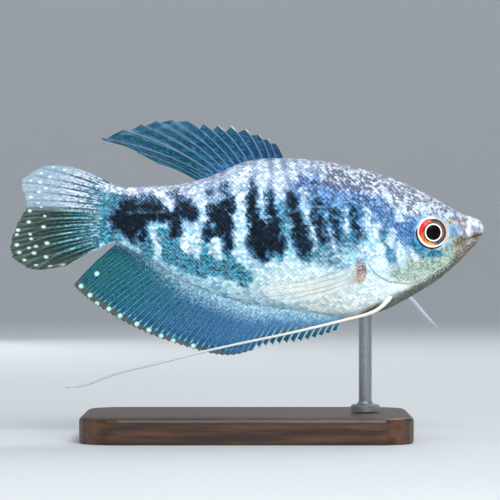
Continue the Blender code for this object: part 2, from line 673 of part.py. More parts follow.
def main():
    for leftover in list(bpy.data.objects):
        bpy.data.objects.remove(leftover, do_unlink=True)
    fish = bpy.data.collections.new("marble_gourami")
    tools = bpy.data.collections.new("cutters")
    for group in (fish, tools):
        bpy.context.scene.collection.children.link(group)

    clearance = loft("clearance", body_rings(grow=GAP), tools)
    make_body(fish, tools)
    for name, side in (("eye_right", -1), ("eye_left", 1)):
        eyeball(name, side, 0.0, fish)
    make_fins(fish, tools, clearance)
    make_stand(fish, clearance)
    paint(fish)
    for tool in tools.objects:
        tool.hide_render = True
        tool.display_type = "WIRE"


main()
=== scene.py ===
import math

import bpy
import numpy as np
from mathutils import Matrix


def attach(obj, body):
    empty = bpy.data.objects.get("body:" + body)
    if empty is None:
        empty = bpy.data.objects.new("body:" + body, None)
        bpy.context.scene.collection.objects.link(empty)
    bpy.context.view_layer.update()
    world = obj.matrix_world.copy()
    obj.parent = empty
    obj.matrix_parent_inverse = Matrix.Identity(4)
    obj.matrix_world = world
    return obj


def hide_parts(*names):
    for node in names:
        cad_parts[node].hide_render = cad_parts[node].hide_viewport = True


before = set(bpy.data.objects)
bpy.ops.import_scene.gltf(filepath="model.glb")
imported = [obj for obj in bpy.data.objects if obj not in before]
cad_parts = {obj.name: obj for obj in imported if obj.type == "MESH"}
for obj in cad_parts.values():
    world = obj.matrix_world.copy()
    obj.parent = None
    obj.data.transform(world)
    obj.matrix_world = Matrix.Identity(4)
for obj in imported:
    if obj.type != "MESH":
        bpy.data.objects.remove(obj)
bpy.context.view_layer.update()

# Tables are in millimetres: x from the middle of the fish's length towards the snout, z from its long
# axis. The right side, y below zero, is the one that the photograph shows.
MM = 0.001
AXIS_HEIGHT = 48.0
LEFT, RIGHT = 1, -1
SIDE_NAMES = {LEFT: "left", RIGHT: "right"}
MARK_SEEDS = {LEFT: 40, RIGHT: 3}
SCALE_SEEDS = {LEFT: 12, RIGHT: 11}

# Outline, half thickness and section of the head and body, with the scaly root of the tail fin behind
BACK_LINE = [
    (-34.5, 12.3), (-30.5, 10.6), (-24.0, 10.4), (-19.0, 10.6), (-13.1, 11.5), (-9.0, 12.7), (-5.3, 14.2),
    (-1.8, 15.8), (3.0, 16.9), (9.0, 17.1), (15.2, 16.7), (21.7, 15.8), (27.2, 14.6), (32.4, 13.0),
    (38.0, 10.7), (42.0, 8.8), (45.4, 6.9), (48.5, 5.1), (51.0, 3.9), (53.0, 3.2),
]
BELLY_LINE = [
    (-34.5, -4.2), (-30.5, -2.4), (-27.0, -4.0), (-21.7, -7.0), (-15.2, -10.9), (-8.0, -14.1),
    (-1.5, -16.0), (7.1, -17.6), (17.1, -18.9), (24.0, -19.6), (28.7, -19.1), (33.4, -17.6), (38.0, -15.2),
    (41.4, -13.2), (44.4, -11.2), (47.0, -9.1), (49.4, -7.0), (51.4, -5.0), (53.0, -3.3),
]
HALF_WIDTH = [
    (-34.5, 0.05), (-30.5, 0.95), (-26.0, 2.0), (-20.0, 3.3), (-10.0, 5.1), (0.0, 6.6), (10.0, 7.5),
    (19.0, 7.8), (27.0, 7.6), (34.0, 6.9), (40.0, 5.8), (44.0, 4.85), (48.0, 3.8), (51.0, 3.0), (53.0, 2.4),
]
TOP_HEAVY = [
    (-34.5, 0.0), (-30.5, 0.0), (-20.0, 0.12), (-5.0, 0.26), (10.0, 0.26), (24.0, 0.1), (34.0, 0.02),
    (53.0, 0.0),
]
TAIL_ROOT, SNOUT_START, SNOUT_LENGTH, SNOUT_Z = -34.5, 53.0, 2.2, 0.2
# The last ring of the snout stops just short of its very tip
SNOUT_END = SNOUT_START + SNOUT_LENGTH * math.pi / 2 * 0.97

# Lines of the head's relief
COVER_EDGE = [
    (30.6, 5.2), (28.4, 2.8), (26.5, -0.8), (27.0, -4.5), (28.2, -7.7), (30.0, -9.9), (33.0, -11.5),
    (37.4, -12.0), (41.0, -11.0), (44.4, -9.0), (46.9, -7.1), (49.7, -4.7), (51.6, -3.0),
]
HEAD_AREA = COVER_EDGE + [(56.0, -1.0), (56.0, 20.0), (31.6, 20.0)]
CHEEK_EDGE = [
    (45.4, -6.5), (41.0, -8.3), (37.2, -9.3), (34.7, -7.6), (34.0, -3.8), (33.4, 0.6), (32.4, 4.2),
]
UPPER_LIP = [(51.6, -0.5), (52.9, 0.0), (54.2, 0.5), (55.4, 0.6)]
LOWER_LIP = [(51.4, -2.2), (52.5, -1.9), (53.5, -1.5), (54.6, -1.2)]
MOUTH_LINE = [(51.5, -1.5), (52.8, -1.1), (53.8, -0.65), (55.4, -0.3)]
LIP_FLAP = [(51.8, 3.1), (51.5, 1.4), (51.2, -0.2)]
FLAP_GROOVE = [(50.9, 3.1), (50.5, 1.2), (50.3, -0.6)]
JAW_GROOVE = [(52.9, -3.6), (50.2, -6.0), (47.4, -8.4), (43.0, -11.6), (38.0, -14.4)]
NOSTRILS = [(47.2, 2.2, 0.5), (49.4, 2.6, 0.34)]
# Lines that stand out or are cut in: height, line and width
CARVED = (
    (0.3, UPPER_LIP, 0.75), (0.26, LOWER_LIP, 0.6), (0.34, LIP_FLAP, 0.6), (-0.16, FLAP_GROOVE, 0.28),
    (-0.24, MOUTH_LINE, 0.15), (-0.16, JAW_GROOVE, 0.25),
)
EYE_X, EYE_Y, EYE_Z, EYE_RADIUS = 42.8, 4.45, -0.15, 3.45
EYE_WIDE, EYE_DEEP, EYE_TURN = 3.75, 1.5, math.radians(14)
# Middle and size of the painted shade in the mouth's corner
GAPE_X, GAPE_Z, GAPE_LONG, GAPE_TALL = 53.15, -0.8, 1.6, 1.2
PAD_X, PAD_Z, PAD_WIDE, PAD_TALL, PAD_LEAN, PAD_BEND = 26.1, -8.8, 1.2, 3.4, math.radians(-4), 0.9

# Where the lateral line's tubed scales run, in two lengths
LATERAL_FRONT = [
    (30.3, 2.8), (27.8, 4.9), (24.5, 7.0), (22.0, 6.7), (18.7, 5.6), (15.2, 5.8), (9.7, 4.3), (4.5, 2.0),
]
LATERAL_REAR = [(-15.9, 2.8), (-19.4, 4.7), (-24.8, 4.4), (-27.8, 4.2)]

# Markings as strokes: half width, then the x and z of each place that it passes through
INK_STROKES = [
    (2.0, -28.3, 6.3, -20.8, 6.2), (2.5, -29.3, 2.6, -25.2, 1.9), (1.4, -25.0, 3.5, -16.8, 3.6),
    (1.2, -27.8, 0.2, -26.6, -0.6), (1.0, -24.4, 1.2, -23.7, -1.2), (1.3, -16.4, 8.6, -14.5, 5.5),
    (2.3, -14.2, 5.6, -12.8, 4.2), (1.2, -16.3, 2.0, -16.2, -0.5), (1.0, -8.6, 9.8, -7.5, 5.2),
    (1.3, -4.9, 10.0, -4.3, 5.0), (2.3, -6.1, 4.0, -5.4, 0.9), (0.9, -8.6, 0.7, -9.3, -1.2),
    (1.1, -4.5, 0.0, -4.1, -3.6), (1.3, 1.3, 10.6, 1.6, 3.4), (1.0, 5.4, 8.7, 5.8, 3.4),
    (2.5, 2.7, 0.8, 3.1, -3.0), (2.3, 6.1, 1.0, 6.4, -2.8), (1.0, 3.4, -4.6, 3.8, -5.4),
    (1.3, 10.2, 8.0, 10.8, 5.0), (1.7, 11.2, 4.4, 13.4, -4.2), (1.3, 16.5, 7.6, 16.8, 5.0),
    (1.6, 16.2, 3.6, 17.8, -1.6), (1.3, 20.0, 4.9, 21.4, -0.8), (1.6, 24.5, 5.1, 25.7, 0.0),
]
TEAL_STROKES = [
    (2.0, -18.3, -1.4, -16.9, -5.6), (1.5, -14.1, -7.0, -10.3, -8.4), (1.5, -9.7, -4.7, -7.6, -8.4),
    (1.9, -4.4, -8.2, -1.0, -10.2), (1.1, -23.1, -1.4, -22.7, -4.7), (1.6, -31.0, 7.4, -30.6, 4.7),
    (1.0, -4.3, -3.3, -3.6, -6.0), (1.2, -5.7, -0.9, -3.4, -1.9), (0.9, 8.3, 4.7, 8.5, -3.3),
    (1.0, 3.6, -5.1, 7.3, -5.1), (1.2, -33.1, 0.0, -30.6, -1.6), (1.2, -16.4, -1.9, -14.1, -5.6),
    (0.2, 38.9, -3.2, 41.5, -5.2, 45.0, -5.0), (0.2, 32.0, -0.4, 32.6, -6.6),
    (1.0, -33.4, 8.6, -33.2, 4.0, -33.4, -1.0),
]
SNOW_STROKES = [
    (0.9, -19.4, 9.3, -18.0, 5.6), (1.4, -11.0, 10.7, -10.6, 7.4, -9.0, 2.3),
    (1.5, -1.5, 14.4, -1.3, 4.0, -1.5, -4.2), (1.1, 3.6, 16.0, 3.6, 7.0), (0.9, 7.3, 13.5, 8.5, 7.9),
    (0.8, 14.3, 2.3, 15.5, -3.3), (0.8, 13.1, 9.3, 13.8, 4.7), (0.7, 19.2, 0.5, 20.8, -5.6),
    (0.5, 22.4, 4.9, 23.1, 0.5), (0.9, 27.8, 4.2, 28.3, 1.4), (0.9, 29.7, 0.9, 29.9, -1.9),
    (1.5, 28.0, -3.7, 29.6, -7.9), (1.1, 30.7, -4.2, 31.6, -9.4), (0.8, 33.4, -0.2, 33.4, -2.8),
    (0.9, 35.0, -3.3, 35.9, -7.4), (0.9, 35.0, 4.4, 35.7, 2.8), (0.6, 37.1, 9.3, 36.6, 4.7),
    (0.9, 32.2, 8.8, 32.9, 7.4), (0.8, 40.3, 6.0, 41.3, 4.9), (0.6, 42.7, 6.7, 44.5, 6.0),
    (1.1, -3.7, 13.4, -3.6, 12.4), (0.7, 10.9, 15.6, 11.2, 12.0), (0.6, 17.4, 15.6, 17.9, 12.8),
    (0.7, 24.6, 14.0, 25.5, 12.4), (0.5, 14.3, 15.8, 14.6, 12.6), (0.5, 45.2, 4.7, 47.3, 4.2),
    (0.7, 37.8, -4.2, 39.0, -5.8), (2.3, -12.7, 0.9, -12.7, -3.3), (1.2, -7.3, -1.9, -7.1, -5.1),
    (0.9, -21.0, -0.9, -20.6, -4.2),
]
BLUE_STROKES = [
    (3.5, 24.5, 7.4, 32.2, 4.2, 40.3, -2.8), (2.8, 35.2, 1.4, 40.3, -2.8), (1.9, 38.7, 2.3, 40.3, -4.7),
    (0.9, 47.6, 0.5, 49.0, -0.9), (0.9, 30.8, -0.9, 32.2, -7.0), (0.9, 34.1, 0.0, 34.3, -7.4),
    (2.3, 12.4, 10.7, 22.9, 9.3), (1.9, 10.1, 8.4, 24.1, 6.5),
]
UMBER_STROKES = [
    (2.8, 19.4, 14.0, 26.4, 12.1, 33.8, 8.8, 39.9, 6.0), (1.9, 41.5, 6.0, 47.8, 3.7, 50.0, 3.2),
]
CHEEK_STROKES = [(3.0, 38.6, -7.9, 44.5, -7.0, 48.7, -4.3), (1.9, 34.7, -9.6, 39.0, -10.2)]
# The jaw's brown; its last, thin stroke is a painted shadow under the upper jaw's edge
JAW_AND_SHADE_STROKES = [
    (1.5, 54.3, -0.9, 52.6, -3.0, 50.4, -5.0, 49.2, -6.0), (1.3, 52.2, -1.9, 49.2, -2.8),
    (0.2, 50.4, -0.9, 47.6, -1.4),
]
THROAT_STROKES = [(2.3, 52.9, -4.2, 48.5, -8.4, 42.7, -12.6, 34.5, -17.2, 28.7, -19.5)]
SLATE_STROKES = [(2.8, 15.2, -4.7, 20.8, -4.7), (2.1, 22.9, 0.0, 24.1, -2.8)]
# Markings of one kind of stroke: softness and raggedness of the edge, and the seed's own number
BRUSHED = {
    "snow": (SNOW_STROKES, 0.7, 0.4, 8), "blue": (BLUE_STROKES, 1.8, 0.9, 9),
    "umber": (UMBER_STROKES, 1.6, 1.0, 10), "cheek": (CHEEK_STROKES, 1.5, 0.4, 11),
    "jaw": (JAW_AND_SHADE_STROKES, 1.1, 0.4, 12), "slate": (SLATE_STROKES, 1.5, 0.7, 14),
}
# Spacing of the faint upright bars over the back, and where they start
BAR_SPACING, BAR_START = 3.3, 1.1
MARKS = (
    "ink", "azure", "teal", "snow", "blue", "umber", "crown", "snout", "belly", "bars", "cheek", "jaw",
    "throat", "slate", "fold", "cream", "line", "gape", "calm",
)

# Fins as rows of (station along the root, x and z on the root, x and z at the ray's tip)
DORSAL_FIN = [
    (0, 8.9, 16.0, 6.8, 20.6), (1, 6.9, 16.0, 5.0, 21.6), (2, 5.6, 16.0, 2.9, 22.7),
    (3, 4.1, 15.8, -0.2, 23.9), (4, 2.4, 15.6, -3.6, 24.6), (5, 0.9, 15.2, -6.8, 24.9),
    (6, -0.6, 14.8, -10.2, 25.3), (7, -1.9, 14.3, -13.6, 25.8), (8, -3.1, 13.8, -17.4, 26.0),
    (9, -4.2, 13.3, -21.0, 25.8), (10, -5.3, 12.9, -24.6, 25.0), (11, -6.3, 12.4, -28.6, 23.8),
    (12, -7.2, 12.0, -33.8, 21.8), (13, -8.1, 11.5, -30.4, 20.6), (14, -9.0, 11.1, -25.8, 18.6),
    (15, -10.0, 10.7, -20.8, 15.9),
]
ANAL_FIN = [
    (0.0, 23.8, -18.2, 21.0, -23.0), (4.9, 18.3, -17.6, 12.9, -25.5), (9.8, 11.7, -16.8, 4.8, -26.6),
    (14.7, 5.9, -15.9, -2.4, -28.6), (19.6, 0.8, -14.9, -9.0, -28.2), (24.5, -4.3, -13.6, -15.9, -26.2),
    (29.4, -9.7, -11.8, -22.6, -23.8), (34.3, -14.6, -9.5, -29.0, -20.7), (39.2, -19.7, -6.7, -34.6, -17.3),
    (44.1, -24.6, -3.8, -38.4, -14.4), (49.0, -29.3, -2.0, -40.3, -12.5),
]
CAUDAL_FIN = [
    (0.0, -30.0, 10.6, -41.0, 15.2), (1.04, -30.0, 9.6, -46.3, 15.5), (2.08, -30.0, 8.6, -50.0, 13.9),
    (3.12, -30.0, 7.6, -52.3, 12.2), (4.68, -30.0, 6.2, -51.9, 8.9), (6.5, -30.0, 4.4, -51.4, 5.4),
    (7.54, -30.0, 3.3, -52.5, 3.4), (8.84, -30.0, 2.0, -54.2, -0.1), (10.14, -30.0, 0.7, -55.0, -3.5),
    (11.18, -30.0, -0.3, -54.2, -6.2), (11.96, -30.0, -1.1, -51.6, -8.1), (12.61, -30.0, -1.7, -47.2, -8.8),
    (13.0, -30.0, -2.1, -42.0, -7.9),
]
# The pectoral fin's points have a third size, the distance out from the mid plane
PECTORAL_FIN = [
    (0.0, 26.4, 7.2, -7.2, 5.0, 11.9, -12.5), (2.5, 26.1, 7.0, -8.4, 3.6, 12.2, -13.4),
    (5.0, 25.8, 6.8, -9.5, 3.8, 12.3, -14.4), (7.5, 25.5, 6.6, -10.7, 5.6, 12.0, -15.5),
    (10.0, 25.2, 6.3, -11.8, 9.0, 11.4, -16.4),
]
# Its rays that show most
BOLD_RAYS = (0, 3, 6, 8)
# Thread-like pelvic fins: x, distance from the mid plane, z, half the width and half the thickness
PELVIC_RIGHT = [
    (33.2, 2.6, -14.3, 1.0, 0.62), (32.3, 4.0, -16.1, 0.9, 0.55), (30.2, 4.2, -18.0, 0.7, 0.46),
    (27.7, 4.0, -19.1, 0.56, 0.4), (23.9, 3.9, -20.1, 0.48, 0.36), (17.4, 3.8, -21.7, 0.43, 0.34),
    (8.2, 3.8, -23.8, 0.4, 0.32), (-10.8, 4.2, -27.9, 0.36, 0.3), (-23.2, 4.8, -31.0, 0.33, 0.29),
    (-32.3, 5.4, -33.5, 0.3, 0.28), (-38.3, 5.9, -35.6, 0.26, 0.22), (-41.6, 6.2, -35.9, 0.1, 0.1),
]
PELVIC_LEFT = [
    (33.2, 2.6, -14.0, 0.9, 0.5), (35.6, 6.0, -13.9, 0.95, 0.45), (37.9, 9.8, -15.2, 1.05, 0.45),
    (41.2, 16.0, -18.6, 1.0, 0.42), (43.6, 20.5, -21.0, 0.85, 0.34), (45.9, 24.4, -22.9, 0.15, 0.1),
]
# Bright spots on the tail fin, and along the margin of the anal fin
TAIL_SPOTS = [
    (-44.9, 15.1), (-42.4, 14.4), (-47.8, 13.7), (-45.7, 12.8), (-50.1, 11.9), (-48.0, 11.6), (-46.6, 10.2),
    (-48.3, 9.3), (-50.1, 8.1), (-46.6, 7.9), (-48.3, 6.7), (-47.8, 5.8), (-50.3, 4.9), (-46.9, 3.7),
    (-50.6, 2.3), (-47.3, 1.2), (-53.1, 0.5), (-50.3, -0.5), (-53.4, -0.7), (-50.1, -1.6), (-46.4, -2.6),
    (-53.4, -3.0), (-49.0, -3.3), (-50.6, -3.7), (-52.8, -4.7), (-49.4, -4.9), (-46.6, -5.8), (-51.7, -6.5),
    (-49.0, -7.7), (-45.7, -7.9), (-42.7, -7.6), (-39.9, -7.0),
]
ANAL_SPOTS = [
    (-34.8, -9.7), (-38.5, -12.6), (-36.4, -14.7), (-34.8, -16.7), (-32.0, -17.9), (-29.4, -19.5),
    (-25.5, -21.4), (-22.7, -22.8), (-19.9, -24.2), (-17.1, -25.3), (-12.4, -26.5),
]


def srgb(code):
    """A linear colour from a hexadecimal one."""
    parts = [int(code[i : i + 2], 16) / 255 for i in (0, 2, 4)]
    return tuple(p / 12.92 if p <= 0.04045 else ((p + 0.055) / 1.055) ** 2.4 for p in parts) + (1.0,)


PEARL, PEARL_SHADE, SNOW = "CCEAF6", "68A6C4", "F6FCFE"
INK_SHEEN, SHADOW, ICE, LILAC = "1E4058", "4C7898", "A8DCFF", "8C90A0"
BRASS, JAW, TAN, MAROON = "C8A860", "50443C", "A88664", "743C3E"
# The first colour on the next line is a painted shade for the mouth's creases and the nostrils' pits
# The last colour on the next line is a painted highlight for the gill cover's edge
RECESS_SHADE, THROAT, COVER_HIGHLIGHT = "4A3428", "2C3630", "EEF8F8"
# The fine streaks of the coat lean back from the upright
HATCH_LEAN = math.radians(-28)
DORSAL_LEAN, ANAL_LEAN = math.radians(-61), math.radians(40)


class Curve:
    """A smooth line through rows of (place, value, ...), read at any place."""

    def __init__(self, rows):
        table = np.array(rows, float)
        self.knots, self.values = table[:, 0], table[:, 1:]
        count = len(self.knots)
        step = np.diff(self.knots)
        slope = np.diff(self.values, axis=0) / step[:, None]
        matrix = np.eye(count)
        right = np.zeros_like(self.values)
        for i in range(1, count - 1):
            matrix[i, i - 1 : i + 2] = step[i - 1], 2 * (step[i - 1] + step[i]), step[i]
            right[i] = 6 * (slope[i] - slope[i - 1])
        self.bend = np.linalg.solve(matrix, right)

    def __call__(self, at):
        at = np.asarray(at, float)
        i = np.clip(np.searchsorted(self.knots, at) - 1, 0, len(self.knots) - 2)
        step = (self.knots[i + 1] - self.knots[i])[..., None]
        b = (at - self.knots[i])[..., None] / step
        a = 1 - b
        curve = (a**3 - a) * self.bend[i] + (b**3 - b) * self.bend[i + 1]
        return a * self.values[i] + b * self.values[i + 1] + curve * step**2 / 6


BACK, BELLY, WIDTH, SKEW = Curve(BACK_LINE), Curve(BELLY_LINE), Curve(HALF_WIDTH), Curve(TOP_HEAVY)


def running(steps):
    """The total before each step, and after the last."""
    return np.concatenate([[0], np.cumsum(steps)])


def through(points):
    """A smooth line through points, its place running from 0 to 1 with their spacing."""
    points = np.array(points, float)
    run = running(np.linalg.norm(np.diff(points[:, :3], axis=0), axis=1))
    return Curve(np.column_stack([run / run[-1], points]))


def ease(value, low, high):
    """0 below low, 1 above high, with a smooth climb between."""
    t = np.clip((value - low) / (high - low), 0, 1)
    return t * t * (3 - 2 * t)


def bump(distance, width):
    return np.exp(-((distance / width) ** 2))


def window(value, rise, full, fall, end):
    """1 from full to fall, with smooth slopes to 0 at rise and end."""
    return ease(value, rise, full) * (1 - ease(value, fall, end))


def unit(vectors):
    return vectors / np.maximum(np.linalg.norm(vectors, axis=-1, keepdims=True), 1e-9)


def circle(count):
    return np.linspace(0, 2 * math.pi, count, endpoint=False)


def crossed(rows, columns):
    """Two sets of values paired in every way, as two tables."""
    return np.meshgrid(rows, columns, indexing="ij")


def cloud(x, z, size, seed):
    """Smooth random values from -1 to 1 over a plane, in lumps of a given size."""
    table = np.random.default_rng(seed).uniform(-1, 1, (64, 64))
    x, z = np.asarray(x, float) / size, np.asarray(z, float) / size
    i, j = np.floor(x).astype(int), np.floor(z).astype(int)
    a, b = ease(x - i, 0, 1), ease(z - j, 0, 1)
    corner = [[table[(i + di) % 64, (j + dj) % 64] for dj in (0, 1)] for di in (0, 1)]
    near = corner[0][0] * (1 - a) + corner[1][0] * a
    far = corner[0][1] * (1 - a) + corner[1][1] * a
    return near * (1 - b) + far * b


def apart(x, z, line):
    """How far side-view places lie from a line, and where along it the nearest place is, from 0 to 1."""
    line = np.asarray(line, float)
    lengths = np.linalg.norm(np.diff(line, axis=0), axis=1)
    run = running(lengths) / lengths.sum()
    nearest = np.full(np.shape(x), np.inf)
    along = np.zeros(np.shape(x))
    for i, length in enumerate(lengths):
        (x0, z0), (dx, dz) = line[i], (line[i + 1] - line[i]) / length
        t = np.clip((x - x0) * dx + (z - z0) * dz, 0, length)
        gap = np.hypot(x - x0 - t * dx, z - z0 - t * dz)
        along = np.where(gap < nearest, run[i] + (run[i + 1] - run[i]) * t / length, along)
        nearest = np.minimum(nearest, gap)
    return nearest, along


def inside(x, z, outline):
    """Which side-view places lie inside a closed outline."""
    hit = np.zeros(np.shape(x), bool)
    for (x0, z0), (x1, z1) in zip(outline, outline[1:] + outline[:1]):
        if z0 == z1:
            continue
        crosses = (z0 > z) != (z1 > z)
        hit ^= crosses & (x < x0 + (z - z0) * (x1 - x0) / (z1 - z0))
    return hit


def painted(x, z, strokes, soft, ragged, seed, grow=0.0):
    """How strongly a set of brush strokes, each grown by a width, covers each place."""
    edge = ragged * (cloud(x, z, 1.3, seed) + 0.6 * cloud(x, z, 0.5, seed + 50))
    cover = np.zeros(np.shape(x))
    for half, *line in strokes:
        gap = apart(x, z, np.reshape(line, (-1, 2)))[0]
        cover = np.maximum(cover, ease(half + grow - gap + edge, -soft, soft))
    return cover


def dotted(x, z, spots, radius):
    """How strongly round spots cover each place."""
    gap = np.min([np.hypot(x - sx, z - sz) for sx, sz in spots], axis=0)
    return 1 - ease(gap, radius * 0.6, radius * 1.3)


def pad_reach(x, z):
    """0 at the middle of the pectoral fin's fleshy pad and 1 at its outline."""
    dx, dz = x - PAD_X, z - PAD_Z
    across = dx * math.cos(PAD_LEAN) - dz * math.sin(PAD_LEAN)
    up = dx * math.sin(PAD_LEAN) + dz * math.cos(PAD_LEAN)
    across -= PAD_BEND * (0.5 - np.minimum((up / PAD_TALL) ** 2, 1.5))
    return np.hypot(across / PAD_WIDE, up / PAD_TALL)


def markings(x, z, side):
    """Every marking's strength at side-view places; the far side's edges are drawn a little otherwise."""
    seed = MARK_SEEDS[side]
    patchy = cloud(x, z, 1.1, seed + 18)
    wx = x + 0.45 * cloud(x, z, 2.6, seed) + 0.2 * cloud(x, z, 0.9, seed + 1)
    wz = z + 0.45 * cloud(x, z, 2.6, seed + 2) + 0.2 * cloud(x, z, 0.9, seed + 3)
    _, top, bottom, _, _ = section(np.minimum(x, SNOUT_START))
    height = (z - bottom) / (top - bottom) + 0.05 * patchy
    ink = painted(wx, wz, INK_STROKES, 1.3, 0.7, seed) * (1 - 0.45 * ease(height, 0.7, 0.82))
    mottled = ease(wx, 9.0, 20.5) * (0.4 + 0.4 * cloud(x, z, 0.8, seed + 4))
    halo = painted(wx, wz, INK_STROKES, 1.2, 0.6, seed, 0.7) * (0.85 + 0.35 * patchy)
    upper = ease(z + 1.5 * patchy, -2.0, 2.0)
    teal = painted(wx, wz, TEAL_STROKES, 1.1, 0.7, seed + 6, 0.4) * (0.9 + 0.4 * cloud(x, z, 0.6, seed + 7))
    wave = np.sin(2 * math.pi * ((wx - BAR_START) / BAR_SPACING + 0.25 * cloud(x, z, 4.0, seed + 19)))
    rim, along = apart(x, z, COVER_EDGE)
    cheek, down = apart(x, z, CHEEK_EDGE)
    line = np.minimum(apart(x, z, LATERAL_FRONT)[0], apart(x, z, LATERAL_REAR)[0])
    dashes = 0.55 + 0.6 * cloud(x, z, 0.7, seed + 17)
    lit = bump(rim - 0.3, 0.3) * ease(along, 0.1, 0.3) * (1 - 0.6 * ease(along, 0.75, 0.95))
    keel = (1 - ease(height, 0.02, 0.18)) * (1 - ease(x, 8.0, 18.0))
    back = window(x, -16.0, -6.0, 30.0, 37.0) * ease(height, 0.54, 0.66)
    # Painted shade in the mouth's corner
    mouth = np.hypot((x - GAPE_X) / GAPE_LONG, (z - GAPE_Z) / GAPE_TALL) + 0.2 * cloud(x, z, 0.5, 5)
    marks = {name: painted(wx, wz, *brush, seed + number) for name, (*brush, number) in BRUSHED.items()}
    marks["snow"] *= 0.8 + 0.2 * ease(x, 24.0, 28.0)
    marks |= {
        "ink": ink * (1 - mottled),
        "azure": halo * upper * (1 - 0.8 * ease(height, 0.64, 0.76)),
        "teal": np.maximum(halo * (1 - upper), teal),
        "crown": ease(height, 0.7, 0.86),
        "snout": ease(x + 0.5 * patchy, 47.5, 50.5) * ease(z, -2.0, 0.0),
        "belly": (1 - ease(height, 0.14, 0.42)) * ease(x, -8.0, 12.0) * (1 - 0.75 * keel),
        "bars": (0.4 + 0.6 * wave) * back,
        "throat": painted(x, z, THROAT_STROKES, 0.9, 0.3, seed + 13),
        # Painted shade along the gill cover's edge and along the cheek's edge
        "fold": np.maximum(
            bump(rim, 0.26) * window(along, 0.1, 0.25, 0.55, 0.8),
            1.6 * bump(cheek, 0.2) * window(down, 0.3, 0.5, 0.8, 0.95),
        ),
        # Painted highlight just inside the gill cover's edge
        "cream": lit * (0.8 + 0.3 * cloud(x, z, 0.8, seed + 16)),
        "line": bump(line, 0.2) * dashes * (0.18 + 0.82 * ease(x, 8.0, 20.0)),
        "calm": ease(x, 27.0, 33.0),
        # Painted shade in the mouth's corner
        "gape": 1 - ease(mouth, 0.35, 1.0),
    }
    return {name: np.clip(value, 0, 1) for name, value in marks.items()}


def section(station):
    """The body's x, top, bottom, half width and skew; stations past the snout's start turn round it."""
    at = np.minimum(station, SNOUT_START)
    turn = np.clip((station - SNOUT_START) / SNOUT_LENGTH, 0, math.pi / 2)
    x = at + SNOUT_LENGTH * np.sin(turn)
    top = SNOUT_Z + (BACK(at)[..., 0] - SNOUT_Z) * np.cos(turn)
    bottom = SNOUT_Z + (BELLY(at)[..., 0] - SNOUT_Z) * (1 - np.sin(turn))
    return x, top, bottom, WIDTH(at)[..., 0] * np.cos(turn), SKEW(at)[..., 0]


def bare(station, turn):
    """Points of the bare body: turn runs from the back, 0, down the left side to the belly, pi."""
    x, top, bottom, width, skew = section(station)
    y = width * (1 + skew * np.cos(turn)) * np.sin(turn)
    z = (top + bottom) / 2 + (top - bottom) / 2 * np.cos(turn)
    return np.stack(np.broadcast_arrays(x, y, z), -1)


def lifted(station, turn, lift):
    """Points at a height over the bare body, measured along its own normal."""
    reach = 0.01
    ahead = bare(station + reach, turn) - bare(station - reach, turn)
    normal = unit(np.cross(ahead, bare(station, turn + reach) - bare(station, turn - reach)))
    return bare(station, turn) + normal * np.asarray(lift)[..., None]


def on_side(x, z, side, lift):
    """Points over the body by their place in the side view, behind the snout's rounding."""
    _, top, bottom, _, _ = section(x)
    turn = np.arccos(np.clip((2 * z - top - bottom) / (top - bottom), -1, 1))
    return lifted(x, side * turn, lift)


def relief(x, z):
    """How far the skin stands above the bare body, by its place in the side view."""
    gap, run = apart(x, z, COVER_EDGE)
    held = window(run, 0.02, 0.3, 0.88, 1.0)
    inner = np.where(inside(x, z, HEAD_AREA), gap, -gap)
    lift = held * 0.32 * ease(inner, -0.2, 0.25) * np.exp(-np.maximum(inner, 0) / 4)
    lift += held * (0.06 * bump(inner - 0.45, 0.25) - 0.18 * bump(inner + 0.35, 0.3))
    cheek = apart(x, z, CHEEK_EDGE)[0]
    lift += 0.06 * bump(cheek - 0.5, 0.35) - 0.12 * bump(cheek, 0.22)
    for height, line, width in CARVED:
        lift += height * bump(apart(x, z, line)[0], width)
    for nostril_x, nostril_z, radius in NOSTRILS:
        ring = np.hypot(x - nostril_x, z - nostril_z)
        lift += 0.12 * bump(ring - radius - 0.15, 0.16) - 0.45 * bump(ring, radius * 0.75)
    ring = np.hypot(x - EYE_X, z - EYE_Z)
    lift += 0.1 * bump(ring - EYE_RADIUS - 1.0, 0.5) - 1.6 * (1 - ease(ring, 3.2, EYE_RADIUS + 0.15))
    return lift + 0.9 * np.sqrt(np.clip(1 - pad_reach(x, z) ** 2, 0, 1))


def put(name, data):
    """A new object in the scene."""
    made = bpy.data.objects.new(name, data)
    bpy.context.scene.collection.objects.link(made)
    return made


NO_FACES = np.empty((0, 3), int)


def new_piece(name, points, quads, triangles, marks, uv, finish, slot, *nodes):
    """A piece from points in millimetres, faces turned outwards; uv has a place for each corner."""
    points = np.asarray(points, float).reshape(-1, 3)
    flat = np.vstack([quads[:, [0, 1, 2]], quads[:, [0, 2, 3]], triangles])
    a, b, c = points[flat[:, 0]], points[flat[:, 1]], points[flat[:, 2]]
    if np.sum(a * np.cross(b, c)) < 0:
        quads, triangles = quads[:, ::-1], triangles[:, ::-1]
        uv = None if uv is None else (uv[0][:, ::-1], uv[1][:, ::-1])
    mesh = bpy.data.meshes.new(name)
    places = (points + (0, 0, AXIS_HEIGHT)) * MM
    mesh.from_pydata(places.tolist(), [], quads.tolist() + triangles.tolist())
    for mark, values in marks.items():
        layer = mesh.attributes.new(mark, "FLOAT", "POINT")
        layer.data.foreach_set("value", np.ascontiguousarray(values, np.float32).ravel())
    if uv is not None:
        layout = mesh.uv_layers.new(name="OFBake")
        corners = np.concatenate([uv[0].reshape(-1, 2), uv[1].reshape(-1, 2)])
        layout.data.foreach_set("uv", corners.astype(np.float32).ravel())
    mesh.shade_smooth()
    mesh.materials.append(finish)
    made = put(name, mesh)
    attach(made, "root")
    if nodes:
        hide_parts(*nodes)


